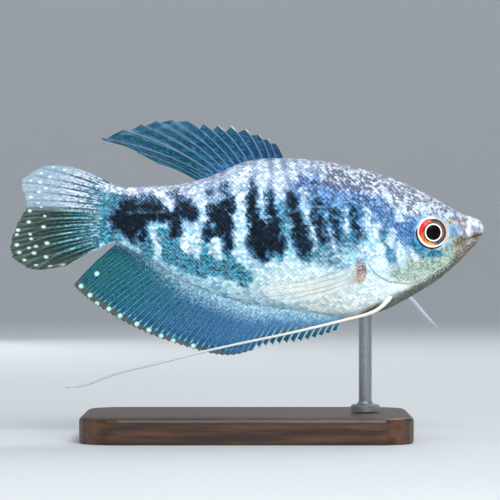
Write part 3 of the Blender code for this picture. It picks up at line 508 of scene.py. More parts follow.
def grid_faces(rows, columns):
    """Four-sided faces of an open grid."""
    i, j = crossed(np.arange(rows - 1), np.arange(columns - 1))
    first = (i * columns + j).ravel()
    return np.stack([first, first + 1, first + columns + 1, first + columns], -1)


def grid_border(rows, columns):
    """The points round a grid's border, in order."""
    index = np.arange(rows * columns).reshape(rows, columns)
    return np.concatenate([index[0], index[1:, -1], index[-1, -2::-1], index[-2:0:-1, 0]])


def closed_faces(rows, around):
    """Faces of a tube of rings with a fan over each end: quads, triangles and the quads' columns."""
    open_quads = grid_faces(rows, around + 1)
    ring, step = np.divmod(open_quads, around + 1)
    quads = ring * around + step % around
    j = np.arange(around)
    k = (j + 1) % around
    last = (rows - 1) * around
    front = np.stack([np.full(around, rows * around), k, j], -1)
    back = np.stack([np.full(around, rows * around + 1), last + j, last + k], -1)
    return quads, np.vstack([front, back]), open_quads


def turned_piece(name, rings, marks, finish, slot, *nodes):
    """A closed solid through rings of points, with each mark's value at every point of the rings."""
    rows, around = rings.shape[:2]
    quads, triangles, _ = closed_faces(rows, around)
    points = np.vstack([rings.reshape(-1, 3), rings[0].mean(0), rings[-1].mean(0)])
    values = {}
    for mark, value in marks.items():
        value = np.broadcast_to(value, (rows, around))
        values[mark] = np.append(value.ravel(), [value[0].mean(), value[-1].mean()])
    new_piece(name, points, quads, triangles, values, None, finish, slot, *nodes)


def unwrap(station, turn):
    """A place on the skin's own layout, which opens along the belly."""
    u = (station - TAIL_ROOT) / (SNOUT_END - TAIL_ROOT)
    return np.stack(np.broadcast_arrays(0.02 + 0.96 * u, 0.5 + 0.48 * turn / math.pi), -1)


SKIN_AROUND = 298


def make_skin(finish):
    """One skin over head, gill covers, body and the root of the tail fin, finest on the head."""
    stations = np.concatenate([
        np.linspace(TAIL_ROOT, 24.0, 116, endpoint=False),
        np.linspace(24.0, SNOUT_START, 170, endpoint=False),
        np.linspace(SNOUT_START, SNOUT_END, 40),
    ])
    turn = np.linspace(-math.pi, math.pi, SKIN_AROUND + 1)
    place, around = crossed(stations, turn[:-1])
    flat = bare(place, around)
    x, z = flat[..., 0], flat[..., 2]
    points = lifted(place, around, relief(x, z))
    left, right = markings(x, z, LEFT), markings(x, z, RIGHT)
    marks = {name: np.where(around > 0, left[name], right[name]) for name in MARKS}
    marks["pad"] = 1 - ease(pad_reach(x, z), 0.75, 1.05)
    marks["pad_height"] = np.clip((z - PAD_Z) / PAD_TALL * 0.5 + 0.5, 0, 1)
    # Painted shade in the mouth's line and in the groove behind the lip's flap
    groove = bump(apart(x, z, FLAP_GROOVE)[0], 0.28)
    marks["slit"] = np.maximum(bump(apart(x, z, MOUTH_LINE)[0], 0.22), groove)
    marks["flap"] = bump(apart(x, z, LIP_FLAP)[0], 0.42)
    lips = np.minimum(apart(x, z, UPPER_LIP)[0], apart(x, z, LIP_FLAP)[0])
    marks["lip"] = np.maximum(bump(lips, 0.8), 0.8 * bump(apart(x, z, LOWER_LIP)[0], 0.5))
    pits = np.min([np.hypot(x - nx, z - nz) / radius for nx, nz, radius in NOSTRILS], axis=0)
    marks["nostril"] = bump(pits, 1.3)
    marks["chance"] = np.full(x.shape, 0.5)
    quads, triangles, open_quads = closed_faces(len(stations), SKIN_AROUND)
    layout = unwrap(*crossed(stations, turn)).reshape(-1, 2)
    ends = np.array([unwrap(stations[0], 0.0), unwrap(stations[-1], 0.0)])
    fans = np.repeat(ends, SKIN_AROUND, axis=0)[:, None].repeat(3, axis=1)
    points = np.vstack([points.reshape(-1, 3), points[0].mean(0), points[-1].mean(0)])
    marks = {name: np.append(value.ravel(), [value[0, 0], value[-1, 0]]) for name, value in marks.items()}
    new_piece(
        "skin", points, quads, triangles, marks, (layout[open_quads], fans), finish, "trunk",
        "head", "lower_jaw", "gill_cover_right", "gill_cover_left", "trunk", "tail",
    )


# Scales: spacing along a row and between rows on the mid body, and each scale's own size in spacings
SCALE_PITCH, SCALE_ROW = 1.10, 0.55
SCALE_LONG, SCALE_HALF = 1.62, 0.56
SCALE_ROOT, SCALE_TIP, SCALE_CROWN = -0.10, 0.15, 0.05
SCALE_SIZE = [
    (-36.0, 0.72), (-26.0, 0.78), (-12.0, 0.92), (0.0, 1.0), (24.0, 1.0), (34.0, 0.84), (48.0, 0.66),
]
MID_LINE = [(-40.0, 4.4), (-30.0, 4.0), (28.0, 2.0), (50.0, 1.0)]
SCALE_STEPS, SCALE_COLUMNS = 6, 5
SCALE_POINTS = SCALE_STEPS * SCALE_COLUMNS
# How deep under the skin each scale's one hidden point lies, and the size of its patch in the layout
SCALE_DEEP, PATCH = 0.12, 0.003
# The most scales in one piece
PIECE_LIMIT = 3300


class Girth:
    """The distance round the body from its mid line, for laying rows of scales."""

    def __init__(self):
        self.x = np.linspace(TAIL_ROOT + 0.1, SNOUT_START, 150)
        # The steps go on past the back and the belly, where the mid line isn't looked for
        turn = np.linspace(-0.5, math.pi + 0.5, 400)
        seen = slice(50, 350)
        points = bare(self.x[:, None], turn[None])
        steps = np.linalg.norm(np.diff(points, axis=1), axis=2)
        around = np.concatenate([np.zeros((len(self.x), 1)), np.cumsum(steps, axis=1)], axis=1)
        middle = Curve(MID_LINE)(self.x)[:, 0]
        self.g = np.arange(-40.0, 40.0, 0.25)
        self.turns = np.empty((len(self.x), len(self.g)))
        for i, z in enumerate(middle):
            level = np.interp(-z, -points[i, seen, 2], around[i, seen])
            self.turns[i] = np.interp(self.g, around[i] - level, turn)

    def turn(self, x, g):
        """The turn at a distance down from the mid line, bending with the body."""
        i = np.clip((x - self.x[0]) / (self.x[1] - self.x[0]), 0, len(self.x) - 1.001)
        j = np.clip((g - self.g[0]) / (self.g[1] - self.g[0]), 0, len(self.g) - 1.001)
        i0, j0 = i.astype(int), j.astype(int)
        a, b = i - i0, j - j0
        near = self.turns[i0, j0] * (1 - b) + self.turns[i0, j0 + 1] * b
        far = self.turns[i0 + 1, j0] * (1 - b) + self.turns[i0 + 1, j0 + 1] * b
        return near * (1 - a) + far * a


GIRTH = Girth()


def scale_places():
    """Where the scales of one side root: x, distance down from the mid line, and size."""
    size = Curve(SCALE_SIZE)
    fine = np.linspace(TAIL_ROOT, 47.0, 2000)
    run = running(np.diff(fine) / (SCALE_PITCH * size(fine)[1:, 0]))
    spots = []
    for row in range(-60, 61):
        count = np.arange(0.5 * (row % 2), run[-1])
        x = np.interp(count, run, fine)
        scale = size(x)[:, 0]
        spots.append(np.column_stack([x, row * SCALE_ROW * scale, scale]))
    return np.vstack(spots)


def covered(x, z, turn):
    """Which places carry scales: not the snout, lips, throat, eye, fin pads or the gill cover's edge."""
    head = inside(x, z, HEAD_AREA)
    edge, run = apart(x, z, COVER_EDGE)
    bare_edge = (edge < np.where(head, 0.4, 0.1)) & (run > 0.03)
    throat = ~head & (x > 33.5) & (z < -11.0)
    eye = np.hypot(x - EYE_X, z - EYE_Z) < 4.5
    snout = x > 46.5
    ragged_end = x < -33.2 + 1.3 * cloud(0 * z, z, 0.8, 21)
    on_body = (turn > 0.03) & (turn < math.pi - 0.03)
    return on_body & ~bare_edge & ~throat & ~eye & ~snout & ~ragged_end & (pad_reach(x - 0.3, z) > 1.25)


def make_scales(side, finish):
    """The scales of one side, each a thin closed plate rooted in the skin and rising to its free edge."""
    rng = np.random.default_rng(SCALE_SEEDS[side])
    spots = scale_places()
    turn = GIRTH.turn(spots[:, 0], spots[:, 1])
    flat = bare(spots[:, 0], turn)
    spots = spots[covered(flat[:, 0], flat[:, 2], turn)]
    spots = spots[np.argsort(spots[:, 0], kind="stable")]
    count = len(spots)
    x0 = spots[:, 0] + rng.normal(0, 0.04, count)
    g0 = spots[:, 1] + rng.normal(0, 0.03, count)
    size = spots[:, 2] * rng.uniform(0.96, 1.06, count)
    tip = SCALE_TIP * rng.uniform(0.75, 1.25, count)

    a, b = crossed(np.linspace(0, 1, SCALE_STEPS), np.linspace(-1, 1, SCALE_COLUMNS))
    long, half = SCALE_PITCH * SCALE_LONG * size, SCALE_PITCH * SCALE_HALF * size
    back = a * (1 - 0.3 * b**2 * a) - 0.3
    wide = b * (1 - 0.3 * a**3) * (0.75 + 0.25 * ease(a, 0.0, 0.3))
    x = x0[:, None, None] - long[:, None, None] * back
    g = g0[:, None, None] + half[:, None, None] * wide
    lift = SCALE_ROOT + (tip[:, None, None] - SCALE_ROOT) * a**0.8 - SCALE_CROWN * b**2
    turns = GIRTH.turn(x, g)
    flat = bare(x, turns)
    head_share = ease(flat[..., 0], 27.0, 36.0)
    lift = lift * (1 - 0.6 * head_share) + relief(flat[..., 0], flat[..., 2])
    top = lifted(x, side * turns, lift)

    rim = grid_border(SCALE_STEPS, SCALE_COLUMNS)
    middle = (slice(None), SCALE_STEPS // 2, SCALE_COLUMNS // 2)
    centre = flat[middle]
    under = lifted(x[middle], side * turns[middle], relief(centre[:, 0], centre[:, 2]) - SCALE_DEEP)
    points = np.concatenate([top.reshape(count, SCALE_POINTS, 3), under[:, None]], axis=1)

    sample = np.concatenate([flat.reshape(count, SCALE_POINTS, 3), centre[:, None]], axis=1)
    marks = markings(sample[..., 0], sample[..., 2], side)
    glint = ease(a, 0.6, 0.85) * window(b, -0.15, 0.35, 0.85, 1.15)
    # Painted shade at each scale's root, under the free edge of the scale before it
    shade = 1 - ease(a, 0.42, 0.66)
    for name, value in (("glint", glint), ("shade", shade)):
        row = np.append(value.ravel(), 0.0)
        marks[name] = np.repeat(row[None], count, 0)
    marks["chance"] = np.repeat(rng.uniform(0, 1, count)[:, None], SCALE_POINTS + 1, 1)

    local = grid_faces(SCALE_STEPS, SCALE_COLUMNS)
    fan = np.stack([np.full(len(rim), SCALE_POINTS), rim, np.roll(rim, -1)], -1)
    patch = np.stack([(a - 0.5).ravel(), (b / 2).ravel()], -1) * PATCH
    patch = np.vstack([patch, [0, 0]])
    layout = unwrap(x0, side * GIRTH.turn(x0, g0))[:, None] + patch[None]
    for number, start in enumerate(range(0, count, PIECE_LIMIT)):
        part = slice(start, min(start + PIECE_LIMIT, count))
        many = part.stop - part.start
        shift = (np.arange(many) * (SCALE_POINTS + 1))[:, None, None]
        quads = (local[None] + shift).reshape(-1, 4)
        triangles = (fan[None] + shift).reshape(-1, 3)
        corner = layout[part].reshape(-1, 2)
        values = {name: value[part] for name, value in marks.items()}
        uv = (corner[quads], corner[triangles])
        name = f"scales_{SIDE_NAMES[side]}_{number}"
        new_piece(name, points[part], quads, triangles, values, uv, finish, "trunk")


# Half the thickness of a fin's film between its rays
FILM_HALF = 0.12


def fin_grid(table, gaps, columns, rows, notches, bow, spread=0.0):
    """A fin's mid surface: points by (row, column), with the shares along, across and within each gap.

    notches are how many rays are spines, and how deep the edge is cut behind a spine and behind another
    ray; spread crowds the columns on the rays.
    """
    u = np.linspace(0, 1, columns, endpoint=False)
    phase = u - spread * np.sin(2 * math.pi * u) / (2 * math.pi)
    place = np.append((np.arange(gaps)[:, None] + phase).ravel(), gaps)
    share = np.append(np.tile(phase, gaps), 0.0)
    ends = Curve(table)(place)
    span = ends.shape[1] // 2
    root, far = ends[:, :span], ends[:, span:]
    if span == 2:
        root, far = (np.column_stack([e[:, 0], np.zeros(len(e)), e[:, 1]]) for e in (root, far))
    spines, spine_cut, ray_cut = notches
    cut = np.where(place < spines, spine_cut, ray_cut) * share**0.8
    along = np.linspace(0, 1, rows)[:, None] * (1 - cut)
    reach = far - root
    front = unit(np.cross((0.0, 1.0, 0.0), reach))
    bulge = 4 * along * (1 - along) * bow * np.linalg.norm(reach, axis=1)
    return root + reach * along[..., None] + front * bulge[..., None], along, place / gaps, share


def gap_width(points, share):
    """The width in mm of a fin's gaps between rays, row by row."""
    width = np.linalg.norm(np.gradient(points, axis=1), axis=2) / np.maximum(np.gradient(share)[None], 1e-3)
    return np.median(np.abs(width), axis=1, keepdims=True)


def ray_lines(wide, share, along, fine, first_split=0.0, second_split=0.0):
    """How strongly the rays and their branches show at each point of a fin, fine mm wide."""
    first = first_split * ease(along, 0.3, 0.75)
    second = second_split * ease(along, 0.6, 1.0)
    lines = [first + second, np.abs(first - second), 1 - first - second, 1 - np.abs(first - second)]
    near = np.min([np.abs(share[None] - line) for line in lines], axis=0)
    return bump(near * wide, fine)


def mid_gap(wide, share, fine):
    """How strongly a line half way between two rays shows."""
    return bump(np.abs(share[None] - 0.5) * wide, fine)


def ribbed(line, along, thick, loss, thin_from):
    """Half the thickness of film and rays, which thin towards the tip and again at the very edge."""
    return (FILM_HALF + line * (thick - loss * along)) * (1 - 0.5 * ease(along, thin_from, 1.0))


def make_sheet(name, points, half, marks, finish, slot, node):
    """A closed sheet: the two faces of a mid surface, half a thickness apart from it, and their rim."""
    rows, columns = points.shape[:2]
    along, across = np.gradient(points, axis=0), np.gradient(points, axis=1)
    normal = unit(np.cross(along, across))
    normal *= np.sign(normal[rows // 2, columns // 2, 1]) or 1.0
    near, far = points - normal * half[..., None], points + normal * half[..., None]
    one = rows * columns
    face = grid_faces(rows, columns)
    edge = grid_border(rows, columns)
    following = np.roll(edge, -1)
    sides = np.stack([following, edge, edge + one, following + one], -1)
    quads = np.vstack([face, face[:, ::-1] + one, sides])
    u, v = crossed(np.linspace(0, 1, rows), np.linspace(0, 1, columns))
    half_layout = np.stack([0.02 + 0.44 * u, 0.02 + 0.96 * v], -1).reshape(-1, 2)
    layout = np.vstack([half_layout, half_layout + (0.5, 0)])
    corners = layout[quads]
    corners[2 * len(face) :, 2:] = corners[2 * len(face) :, [1, 0]] + (0.002, 0.0)
    values = {}
    for mark, value in marks.items():
        values[mark] = np.tile(np.broadcast_to(value, (rows, columns)).ravel(), 2)
    points = np.vstack([near.reshape(-1, 3), far.reshape(-1, 3)])
    new_piece(name, points, quads, NO_FACES, values, (corners, np.empty((0, 3, 2))), finish, slot, node)


def waved(points, along, place, height, waves, phase):
    """The same fin with a slight wave, growing towards its edge."""
    moved = points.copy()
    moved[..., 1] += height * along**1.5 * np.sin(2 * math.pi * (waves * place + phase))
    return moved


def make_dorsal(finish):
    points, along, place, share = fin_grid(
        DORSAL_FIN, gaps=15, columns=14, rows=64, notches=(7, 0.2, 0.05), bow=0.05, spread=0.75
    )
    wide = gap_width(points, share)
    line = ray_lines(wide, share, along, fine=0.14)
    soft = ease(place, 0.45, 0.55)
    twig = ray_lines(wide, share, along, fine=0.1, first_split=0.2)
    line = np.maximum(line * (1 - 0.4 * soft * ease(along, 0.4, 0.9)), 0.4 * twig * soft)
    half = ribbed(line, along, thick=0.3, loss=0.2, thin_from=0.93)
    points = waved(points, along, place, height=0.5, waves=1.2, phase=0.1)
    marks = {"ray": line, "along": along, "place": place}
    make_sheet("dorsal_fin_rays", points, half, marks, finish, "dorsal_fin", "dorsal_fin")


def make_anal(finish):
    points, along, place, share = fin_grid(
        ANAL_FIN, gaps=49, columns=8, rows=66, notches=(12, 0.13, 0.025), bow=0.03
    )
    wide = gap_width(points, share)
    line = ray_lines(wide, share, along, fine=0.13)
    half = ribbed(line, along, thick=0.24, loss=0.16, thin_from=0.93)
    spot = dotted(points[..., 0], points[..., 2], ANAL_SPOTS, 0.55)
    points = waved(points, along, place, height=0.45, waves=2.1, phase=0.3)
    marks = {"ray": line, "twig": mid_gap(wide, share, 0.13), "along": along, "place": place, "spot": spot}
    make_sheet("anal_fin_rays", points, half, marks, finish, "anal_fin", "anal_fin")


# The tail fin's spots are longer than tall: their length is squeezed by this share to make them round
SPOT_LONG = 0.72


def make_caudal(finish):
    points, along, place, share = fin_grid(
        CAUDAL_FIN, gaps=13, columns=18, rows=104, notches=(0, 0.0, 0.015), bow=0.03
    )
    wide = gap_width(points, share)
    line = ray_lines(wide, share, ease(along, 0.2, 1.2), fine=0.13, first_split=0.25, second_split=0.125)
    half = ribbed(line, along, thick=0.26, loss=0.16, thin_from=0.94)
    squeezed = [(x * SPOT_LONG, z) for x, z in TAIL_SPOTS]
    size = 0.3 + 0.14 * cloud(points[..., 0], points[..., 2], 1.3, 31)
    marks = {
        "ray": line, "along": along, "place": place,
        "stem": ray_lines(wide, share, along, fine=0.19),
        "gap": mid_gap(wide, share, 0.3), "twig": mid_gap(wide, share, 0.11),
        "spot": dotted(points[..., 0] * SPOT_LONG, points[..., 2], squeezed, size),
    }
    points = waved(points, along, place, height=0.6, waves=1.0, phase=0.2)
    make_sheet("caudal_fin_rays", points, half, marks, finish, "caudal_fin", "caudal_fin")


def make_pectoral(side, finish):
    table = [(s, rx, side * ry, rz, tx, side * ty, tz) for s, rx, ry, rz, tx, ty, tz in PECTORAL_FIN]
    points, along, place, share = fin_grid(
        table, gaps=10, columns=12, rows=60, notches=(0, 0.0, 0.02), bow=-0.04, spread=0.5
    )
    line = ray_lines(gap_width(points, share), share, along, fine=0.1)
    line = line * np.where(np.isin(np.round(place * 10), BOLD_RAYS), 1.0, 0.25)
    half = 0.07 + line * (0.2 - 0.14 * along)
    points[..., 1] += side * 0.35 * np.sin(math.pi * place) * along
    marks = {"ray": line, "along": along}
    word = SIDE_NAMES[side]
    make_sheet(f"pectoral_rays_{word}", points, half, marks, finish, "pectoral_fin", f"pectoral_fin_{word}")


THREAD_SIDES = 14


def make_filament(name, line, side, rows, finish, node):
    """A thread-like pelvic fin: wide across the path's bend, thick in it."""
    table = [(x, side * y, z, wide, thick) for x, y, z, wide, thick in line]
    path = through(table)(np.linspace(0, 1, rows) ** 1.15)
    centre, wide, thick = path[:, :3], path[:, 3], path[:, 4]
    ahead = unit(np.gradient(centre, axis=0))
    across = unit(np.cross(ahead, (0.0, 0.0, 1.0)))
    up = np.cross(across, ahead)
    angle = circle(THREAD_SIDES)
    rings = centre[:, None] + across[:, None] * (np.cos(angle)[:, None] * wide[:, None, None])
    rings = rings + up[:, None] * (np.sin(angle)[:, None] * thick[:, None, None])
    marks = {
        "along": np.linspace(0, 1, rows)[:, None] * np.ones(THREAD_SIDES),
        "stripe": bump(np.cos(angle), 0.45)[None] * np.ones((rows, 1)),
    }
    turned_piece(name, rings, marks, finish, "pelvic_fin", node)


EYE_SIDES, RIM_SIDES = 96, 120


def make_eye(side, finish):
    """A flattened eyeball with a raised pupil, turned to look slightly forwards."""
    quarters = np.concatenate([np.linspace(0.012, 0.62, 26), np.linspace(0.66, 1.98, 22)])
    turn, angle = quarters * math.pi / 2, circle(EYE_SIDES)
    radius, height = EYE_WIDE * np.sin(turn), EYE_DEEP * np.cos(turn)
    front = turn < math.pi / 2
    pupil = 0.16 * np.sqrt(np.clip(1 - (radius / 1.8) ** 2, 0, 1)) - 0.05 * bump(radius - 1.82, 0.1)
    ring = 0.04 * bump(radius - 2.0, 0.2) + 0.05 * bump(radius - 3.35, 0.2)
    height = height + np.where(front, pupil + ring, 0.0)
    out = np.array([math.sin(EYE_TURN), side * math.cos(EYE_TURN), 0.0])
    across = np.array([math.cos(EYE_TURN), -side * math.sin(EYE_TURN), 0.0])
    u, v = radius[:, None] * np.cos(angle), radius[:, None] * np.sin(angle)
    rings = np.array([EYE_X, side * EYE_Y, EYE_Z]) + u[..., None] * across + v[..., None] * (0.0, 0.0, 1.0)
    rings = rings + height[:, None, None] * out
    degrees = np.degrees(angle)[None]
    front_only = front[:, None]
    marks = {
        "reach": np.where(front_only, radius[:, None] / EYE_WIDE, 1.0),
        "red": window(degrees, 92, 112, 186, 206),
        "orange": window(degrees, 182, 200, 232, 268),
        "amber": window(degrees, 222, 250, 262, 300),
        "copper": np.maximum(1 - ease(degrees, 60, 112), ease(degrees, 300, 345)),
    }
    turned_piece(f"eyeball_{SIDE_NAMES[side]}", rings, marks, finish, "eye", f"eye_{SIDE_NAMES[side]}")


# The rim's profile: distance from the eye's middle and height over the body
EYE_RIM = [
    (3.25, -0.9), (3.36, -0.3), (3.45, -0.02), (3.58, 0.12), (3.76, 0.14), (3.98, 0.06), (4.2, -0.08),
    (4.35, -0.3),
]


def make_eye_rim(side, finish):
    """The raised rim of skin round the eye."""
    path = through([(radius, 0.0, height) for radius, height in EYE_RIM])(np.linspace(0, 1, 22))
    angle = circle(RIM_SIDES)
    radius, lift = np.append(path[:, 0], 3.8), np.append(path[:, 2], -1.1)
    x = EYE_X + 0.1 + radius * np.cos(angle)[:, None]
    z = EYE_Z + radius * np.sin(angle)[:, None]
    points = on_side(x, z, side, np.broadcast_to(lift, x.shape))
    degrees = np.degrees(angle)[:, None] * np.ones(len(radius))
    marks = {
        "reach": np.broadcast_to(radius, x.shape),
        # Painted shadow on the rear and lower side of the eye's rim
        "dark": window(degrees, 150, 185, 290, 320),
        "tan": np.maximum(ease(degrees, 290, 325), 1 - ease(degrees, 20, 45)),
    }
    around, across = x.shape
    row, column = np.divmod(grid_faces(around + 1, across + 1), across + 1)
    quads = row % around * across + column % across
    new_piece(f"eye_rim_{SIDE_NAMES[side]}", points, quads, NO_FACES, marks, None, finish, "head")


class Value:
    """A number or colour between shader nodes; arithmetic on it adds Math nodes."""

    def __init__(self, finish, socket):
        self.finish, self.socket = finish, socket

    def maths(self, operation, first, second):
        return self.finish.add("ShaderNodeMath", {"operation": operation}, {0: first, 1: second})

    def __add__(self, other):
        return self.maths("ADD", self, other)

    def __sub__(self, other):
        return self.maths("SUBTRACT", self, other)

    def __rsub__(self, other):
        return self.maths("SUBTRACT", other, self)

    def __mul__(self, other):
        return self.maths("MULTIPLY", self, other)

    __radd__ = __add__
    __rmul__ = __mul__

    def spread(self, low, high):
        """0 at low and 1 at high, held at those values beyond."""
        return self.finish.add("ShaderNodeMapRange", {"clamp": True}, {0: self, 1: low, 2: high})

    def ridge(self, middle, width):
        """1 at the middle, falling to 0 at a width from it on either side."""
        gap = self.maths("ABSOLUTE", self - middle, 0.0)
        return 1 - gap.spread(0.0, width)


class Finish:
    """One piece's finish, built from nodes."""

    def __init__(self, name):
        self.material = bpy.data.materials.new(name)
        self.material.use_nodes = True
        self.nodes, self.links = self.material.node_tree.nodes, self.material.node_tree.links
        self.nodes.clear()
        self.place = self.add("ShaderNodeTexCoord", {}, {}, "Object")

    def add(self, kind, settings, sockets, output=0):
        """A node of any kind: its settings first, then its sockets' links, numbers or colour codes."""
        node = self.nodes.new(kind)
        for name, value in settings.items():
            if name == "stops":
                while len(node.color_ramp.elements) < len(value):
                    node.color_ramp.elements.new(1.0)
                for stop, (position, colour) in zip(node.color_ramp.elements, value):
                    stop.position, stop.color = position, srgb(colour)
            else:
                setattr(node, name, value)
        for key, value in sockets.items():
            if isinstance(value, Value):
                self.links.new(value.socket, node.inputs[key])
            else:
                node.inputs[key].default_value = srgb(value) if isinstance(value, str) else value
        return Value(self, node.outputs[output]) if len(node.outputs) else None

    def mark(self, name):
        settings = {"attribute_type": "GEOMETRY", "attribute_name": name}
        return self.add("ShaderNodeAttribute", settings, {}, "Fac")

    def marks(self, names):
        return [self.mark(name) for name in names.split()]

    def mottle(self, size, detail=2.0, stretch=(1.0, 1.0, 1.0), lean=0.0):
        """Noise around a half, in lumps of a size in millimetres, drawn out along a leaning upright."""
        sockets = {"Vector": self.place, "Scale": stretch, "Rotation": (0.0, lean, 0.0)}
        where = self.add("ShaderNodeMapping", {"vector_type": "TEXTURE"}, sockets)
        sockets = {"Vector": where, "Scale": 1 / (size * MM), "Detail": detail}
        return self.add("ShaderNodeTexNoise", {}, sockets)

    def mix(self, share, first, second):
        """From the first colour to the second as the share goes from 0 to 1."""
        return self.add("ShaderNodeMix", {"data_type": "RGBA"}, {0: share, 6: first, 7: second}, 2)

    def paint(self, share, colour):
        """Lays a colour over what the finish has so far."""
        self.colour = self.mix(share, self.colour, colour)

    def dim(self, share, first, second):
        """The first colour, multiplied by the second as far as the share goes."""
        settings = {"data_type": "RGBA", "blend_type": "MULTIPLY"}
        return self.add("ShaderNodeMix", settings, {0: share, 6: first, 7: second}, 2)

    def ramp(self, value, stops):
        return self.add("ShaderNodeValToRGB", {"stops": stops}, {"Fac": value})

    def raised(self, height, depth):
        """A normal from a height map whose full range is a depth in millimetres."""
        return self.add("ShaderNodeBump", {}, {"Height": height, "Distance": depth * MM}, "Normal")

    def surface(self, sockets):
        shader = self.add("ShaderNodeBsdfPrincipled", {}, {"Base Color": self.colour, **sockets})
        self.add("ShaderNodeOutputMaterial", {}, {"Surface": shader})
        return self.material


def flesh_finish(name):
    """Pearly skin and scales, with every marking of the coat, and shade and highlights painted over it."""
    f = Finish(name)
    mark = {word: f.mark(word) for word in MARKS}
    glint, shade, chance = f.marks("glint shade chance")
    speck, fine, broad = f.mottle(0.5, 3.0), f.mottle(0.28, 2.0), f.mottle(2.6, 2.0)
    hatch = f.mottle(0.5, 2.0, (0.45, 1.0, 1.9), HATCH_LEAN)
    tone = (hatch * 0.5 + speck * 0.2 + chance * 0.3).spread(0.38, 0.62)
    tone = tone + (0.5 - tone) * mark["calm"] * 0.4

    def toned(dark, light):
        return f.mix(tone, dark, light)

    blotch = f.mottle(0.9, 3.0, (0.7, 1.0, 1.7), HATCH_LEAN)
    f.colour = f.mix(broad.spread(0.4, 0.6), toned("5C9CC4", "C0E4F2"), toned("7CC6D8", "DAF6FA"))
    woven = blotch * 0.5 + hatch * 0.35 + chance * 0.15
    back = woven.spread(0.45, 0.56)
    f.paint(mark["crown"], f.mix(back, "8EA2C2", "F8FAFE"))
    f.paint(mark["belly"], toned("C2DCDE", "FCFEFA"))
    f.paint(mark["bars"] * (0.6 + back * 0.4), toned("566F96", "9CB4DA"))
    f.paint(mark["slate"] * 0.85, toned("1E4E70", "5F9CB6"))
    f.paint(mark["blue"] * 0.95, toned("082A60", "4086CC"))
    streak = (hatch * 0.5 + blotch * 0.5).spread(0.53, 0.6)
    f.paint(mark["blue"] * streak * 0.55, PEARL)
    nape = (woven - mark["calm"] * 0.012).spread(0.48, 0.58)
    f.paint(mark["umber"] * 0.9, f.mix(nape, "5E6680", "EEF2FA"))
    smooth = (blotch * 0.6 + broad * 0.4).spread(0.42, 0.56)
    f.paint(mark["snout"] * 0.85, f.mix(smooth, "7E8698", "E2E8F0"))
    flecks = f.mix((blotch * 0.5 + speck * 0.5).spread(0.44, 0.56), "5E8478", "BCCAB4")
    flecks = f.mix((blotch * 0.4 + speck * 0.6).spread(0.54, 0.61) * 0.7, flecks, BRASS)
    f.paint(mark["cheek"] * 0.85, flecks)
    f.paint((mark["azure"] * (0.75 + tone * 0.5)).spread(0.1, 0.9), toned("154E84", "58ACE0"))
    patchy = blotch.spread(0.42, 0.58)
    teal = (mark["teal"] * (0.6 + tone * 0.2 + patchy * 0.4)).spread(0.1, 0.56)
    sea = f.mix(patchy, toned("022E40", "0C7A94"), toned("024460", "12ACCC"))
    f.paint(teal, f.mix(speck.spread(0.54, 0.64) * 0.2, sea, PEARL))
    snow = (mark["snow"] * (0.6 + tone * 0.6)).spread(0.1, 0.95)
    f.paint(snow * 0.92, toned("A4CEE8", "F4FBFF"))
    rough_ink = mark["ink"] + (hatch - 0.5) * 1.2 + (blotch - 0.5) * 0.7
    f.paint(rough_ink.spread(0.1, 0.5), toned("0B3150", "226C9C"))
    ink = rough_ink.spread(0.35, 0.85)
    f.paint(ink, toned("010305", "061C2C"))
    flash = glint * (0.1 + chance * 0.3) * (1 - mark["blue"] * 0.5 - mark["teal"] * 0.3)
    f.paint(flash, f.mix(ink, SNOW, INK_SHEEN))
    # Painted shade at the scales' roots, strongest on the back and the blue, weakest on the teal
    shade_strength = mark["crown"] * 0.25 + mark["blue"] * 0.25 - mark["teal"] * 0.25 + 0.35
    f.colour = f.dim(shade * (1 - ink) * shade_strength, f.colour, f.mix(mark["crown"], SHADOW, "6C6C88"))
    f.paint(mark["throat"] * 0.95, f.mix((speck * 0.5 + blotch * 0.5).spread(0.42, 0.6), THROAT, "6E786A"))
    # The jaw's brown, with a thin painted shadow under the upper jaw's edge
    f.paint(mark["jaw"] * 1.05, f.mix(speck.spread(0.4, 0.62), JAW, "827464"))
    # Painted shade along the edges of the gill cover and the cheek
    f.paint(mark["fold"] * 0.38, toned("2E5A80", "6A9CC0"))
    # Painted highlight just inside the gill cover's edge
    f.paint(mark["cream"] * speck.spread(0.42, 0.55) * 0.7, COVER_HIGHLIGHT)
    f.paint(mark["line"] * 0.75, ICE)
    f.paint(f.mark("lip") * 0.75, f.mix(smooth, LILAC, "E2E8EE"))
    # Painted shade in the mouth's corner, brown to dark
    f.paint(mark["gape"] * 0.8, f.mix(speck.spread(0.4, 0.6), "38261E", "86664A"))
    f.paint(f.mark("flap") * 0.7, SNOW)
    # Painted shade in the mouth's line and in the groove behind the lip's flap
    f.paint(f.mark("slit") * 0.6, RECESS_SHADE)
    # Brass round each nostril, with painted shade in the middle of its pit
    nostril = f.mark("nostril")
    f.paint(nostril * 0.8, BRASS)
    f.paint(nostril.spread(0.74, 0.92) * 0.7, RECESS_SHADE)
    pad_colour = f.ramp(f.mark("pad_height"), [
        (0.0, TAN), (0.3, TAN), (0.5, MAROON), (0.66, MAROON), (0.85, "77789E"),
    ])
    f.paint(f.mark("pad") * 0.9, f.mix(speck.spread(0.45, 0.65) * 0.5, pad_colour, SNOW))
    return f.surface({
        "Roughness": 0.4 + speck * 0.14, "Metallic": 0.05, "Coat Weight": 0.06, "Coat Roughness": 0.2,
        "Specular IOR Level": 0.15, "Normal": f.raised(speck * 0.5 + fine * 0.5, 0.05),
    })


def film(f, speck, ray, alpha):
    """A fin's damp film with its rays raised."""
    return f.surface({
        "Roughness": 0.4 + speck * 0.1, "Coat Weight": 0.08, "Specular IOR Level": 0.15, "Alpha": alpha,
        "Normal": f.raised(speck + ray * 0.6, 0.06),
    })


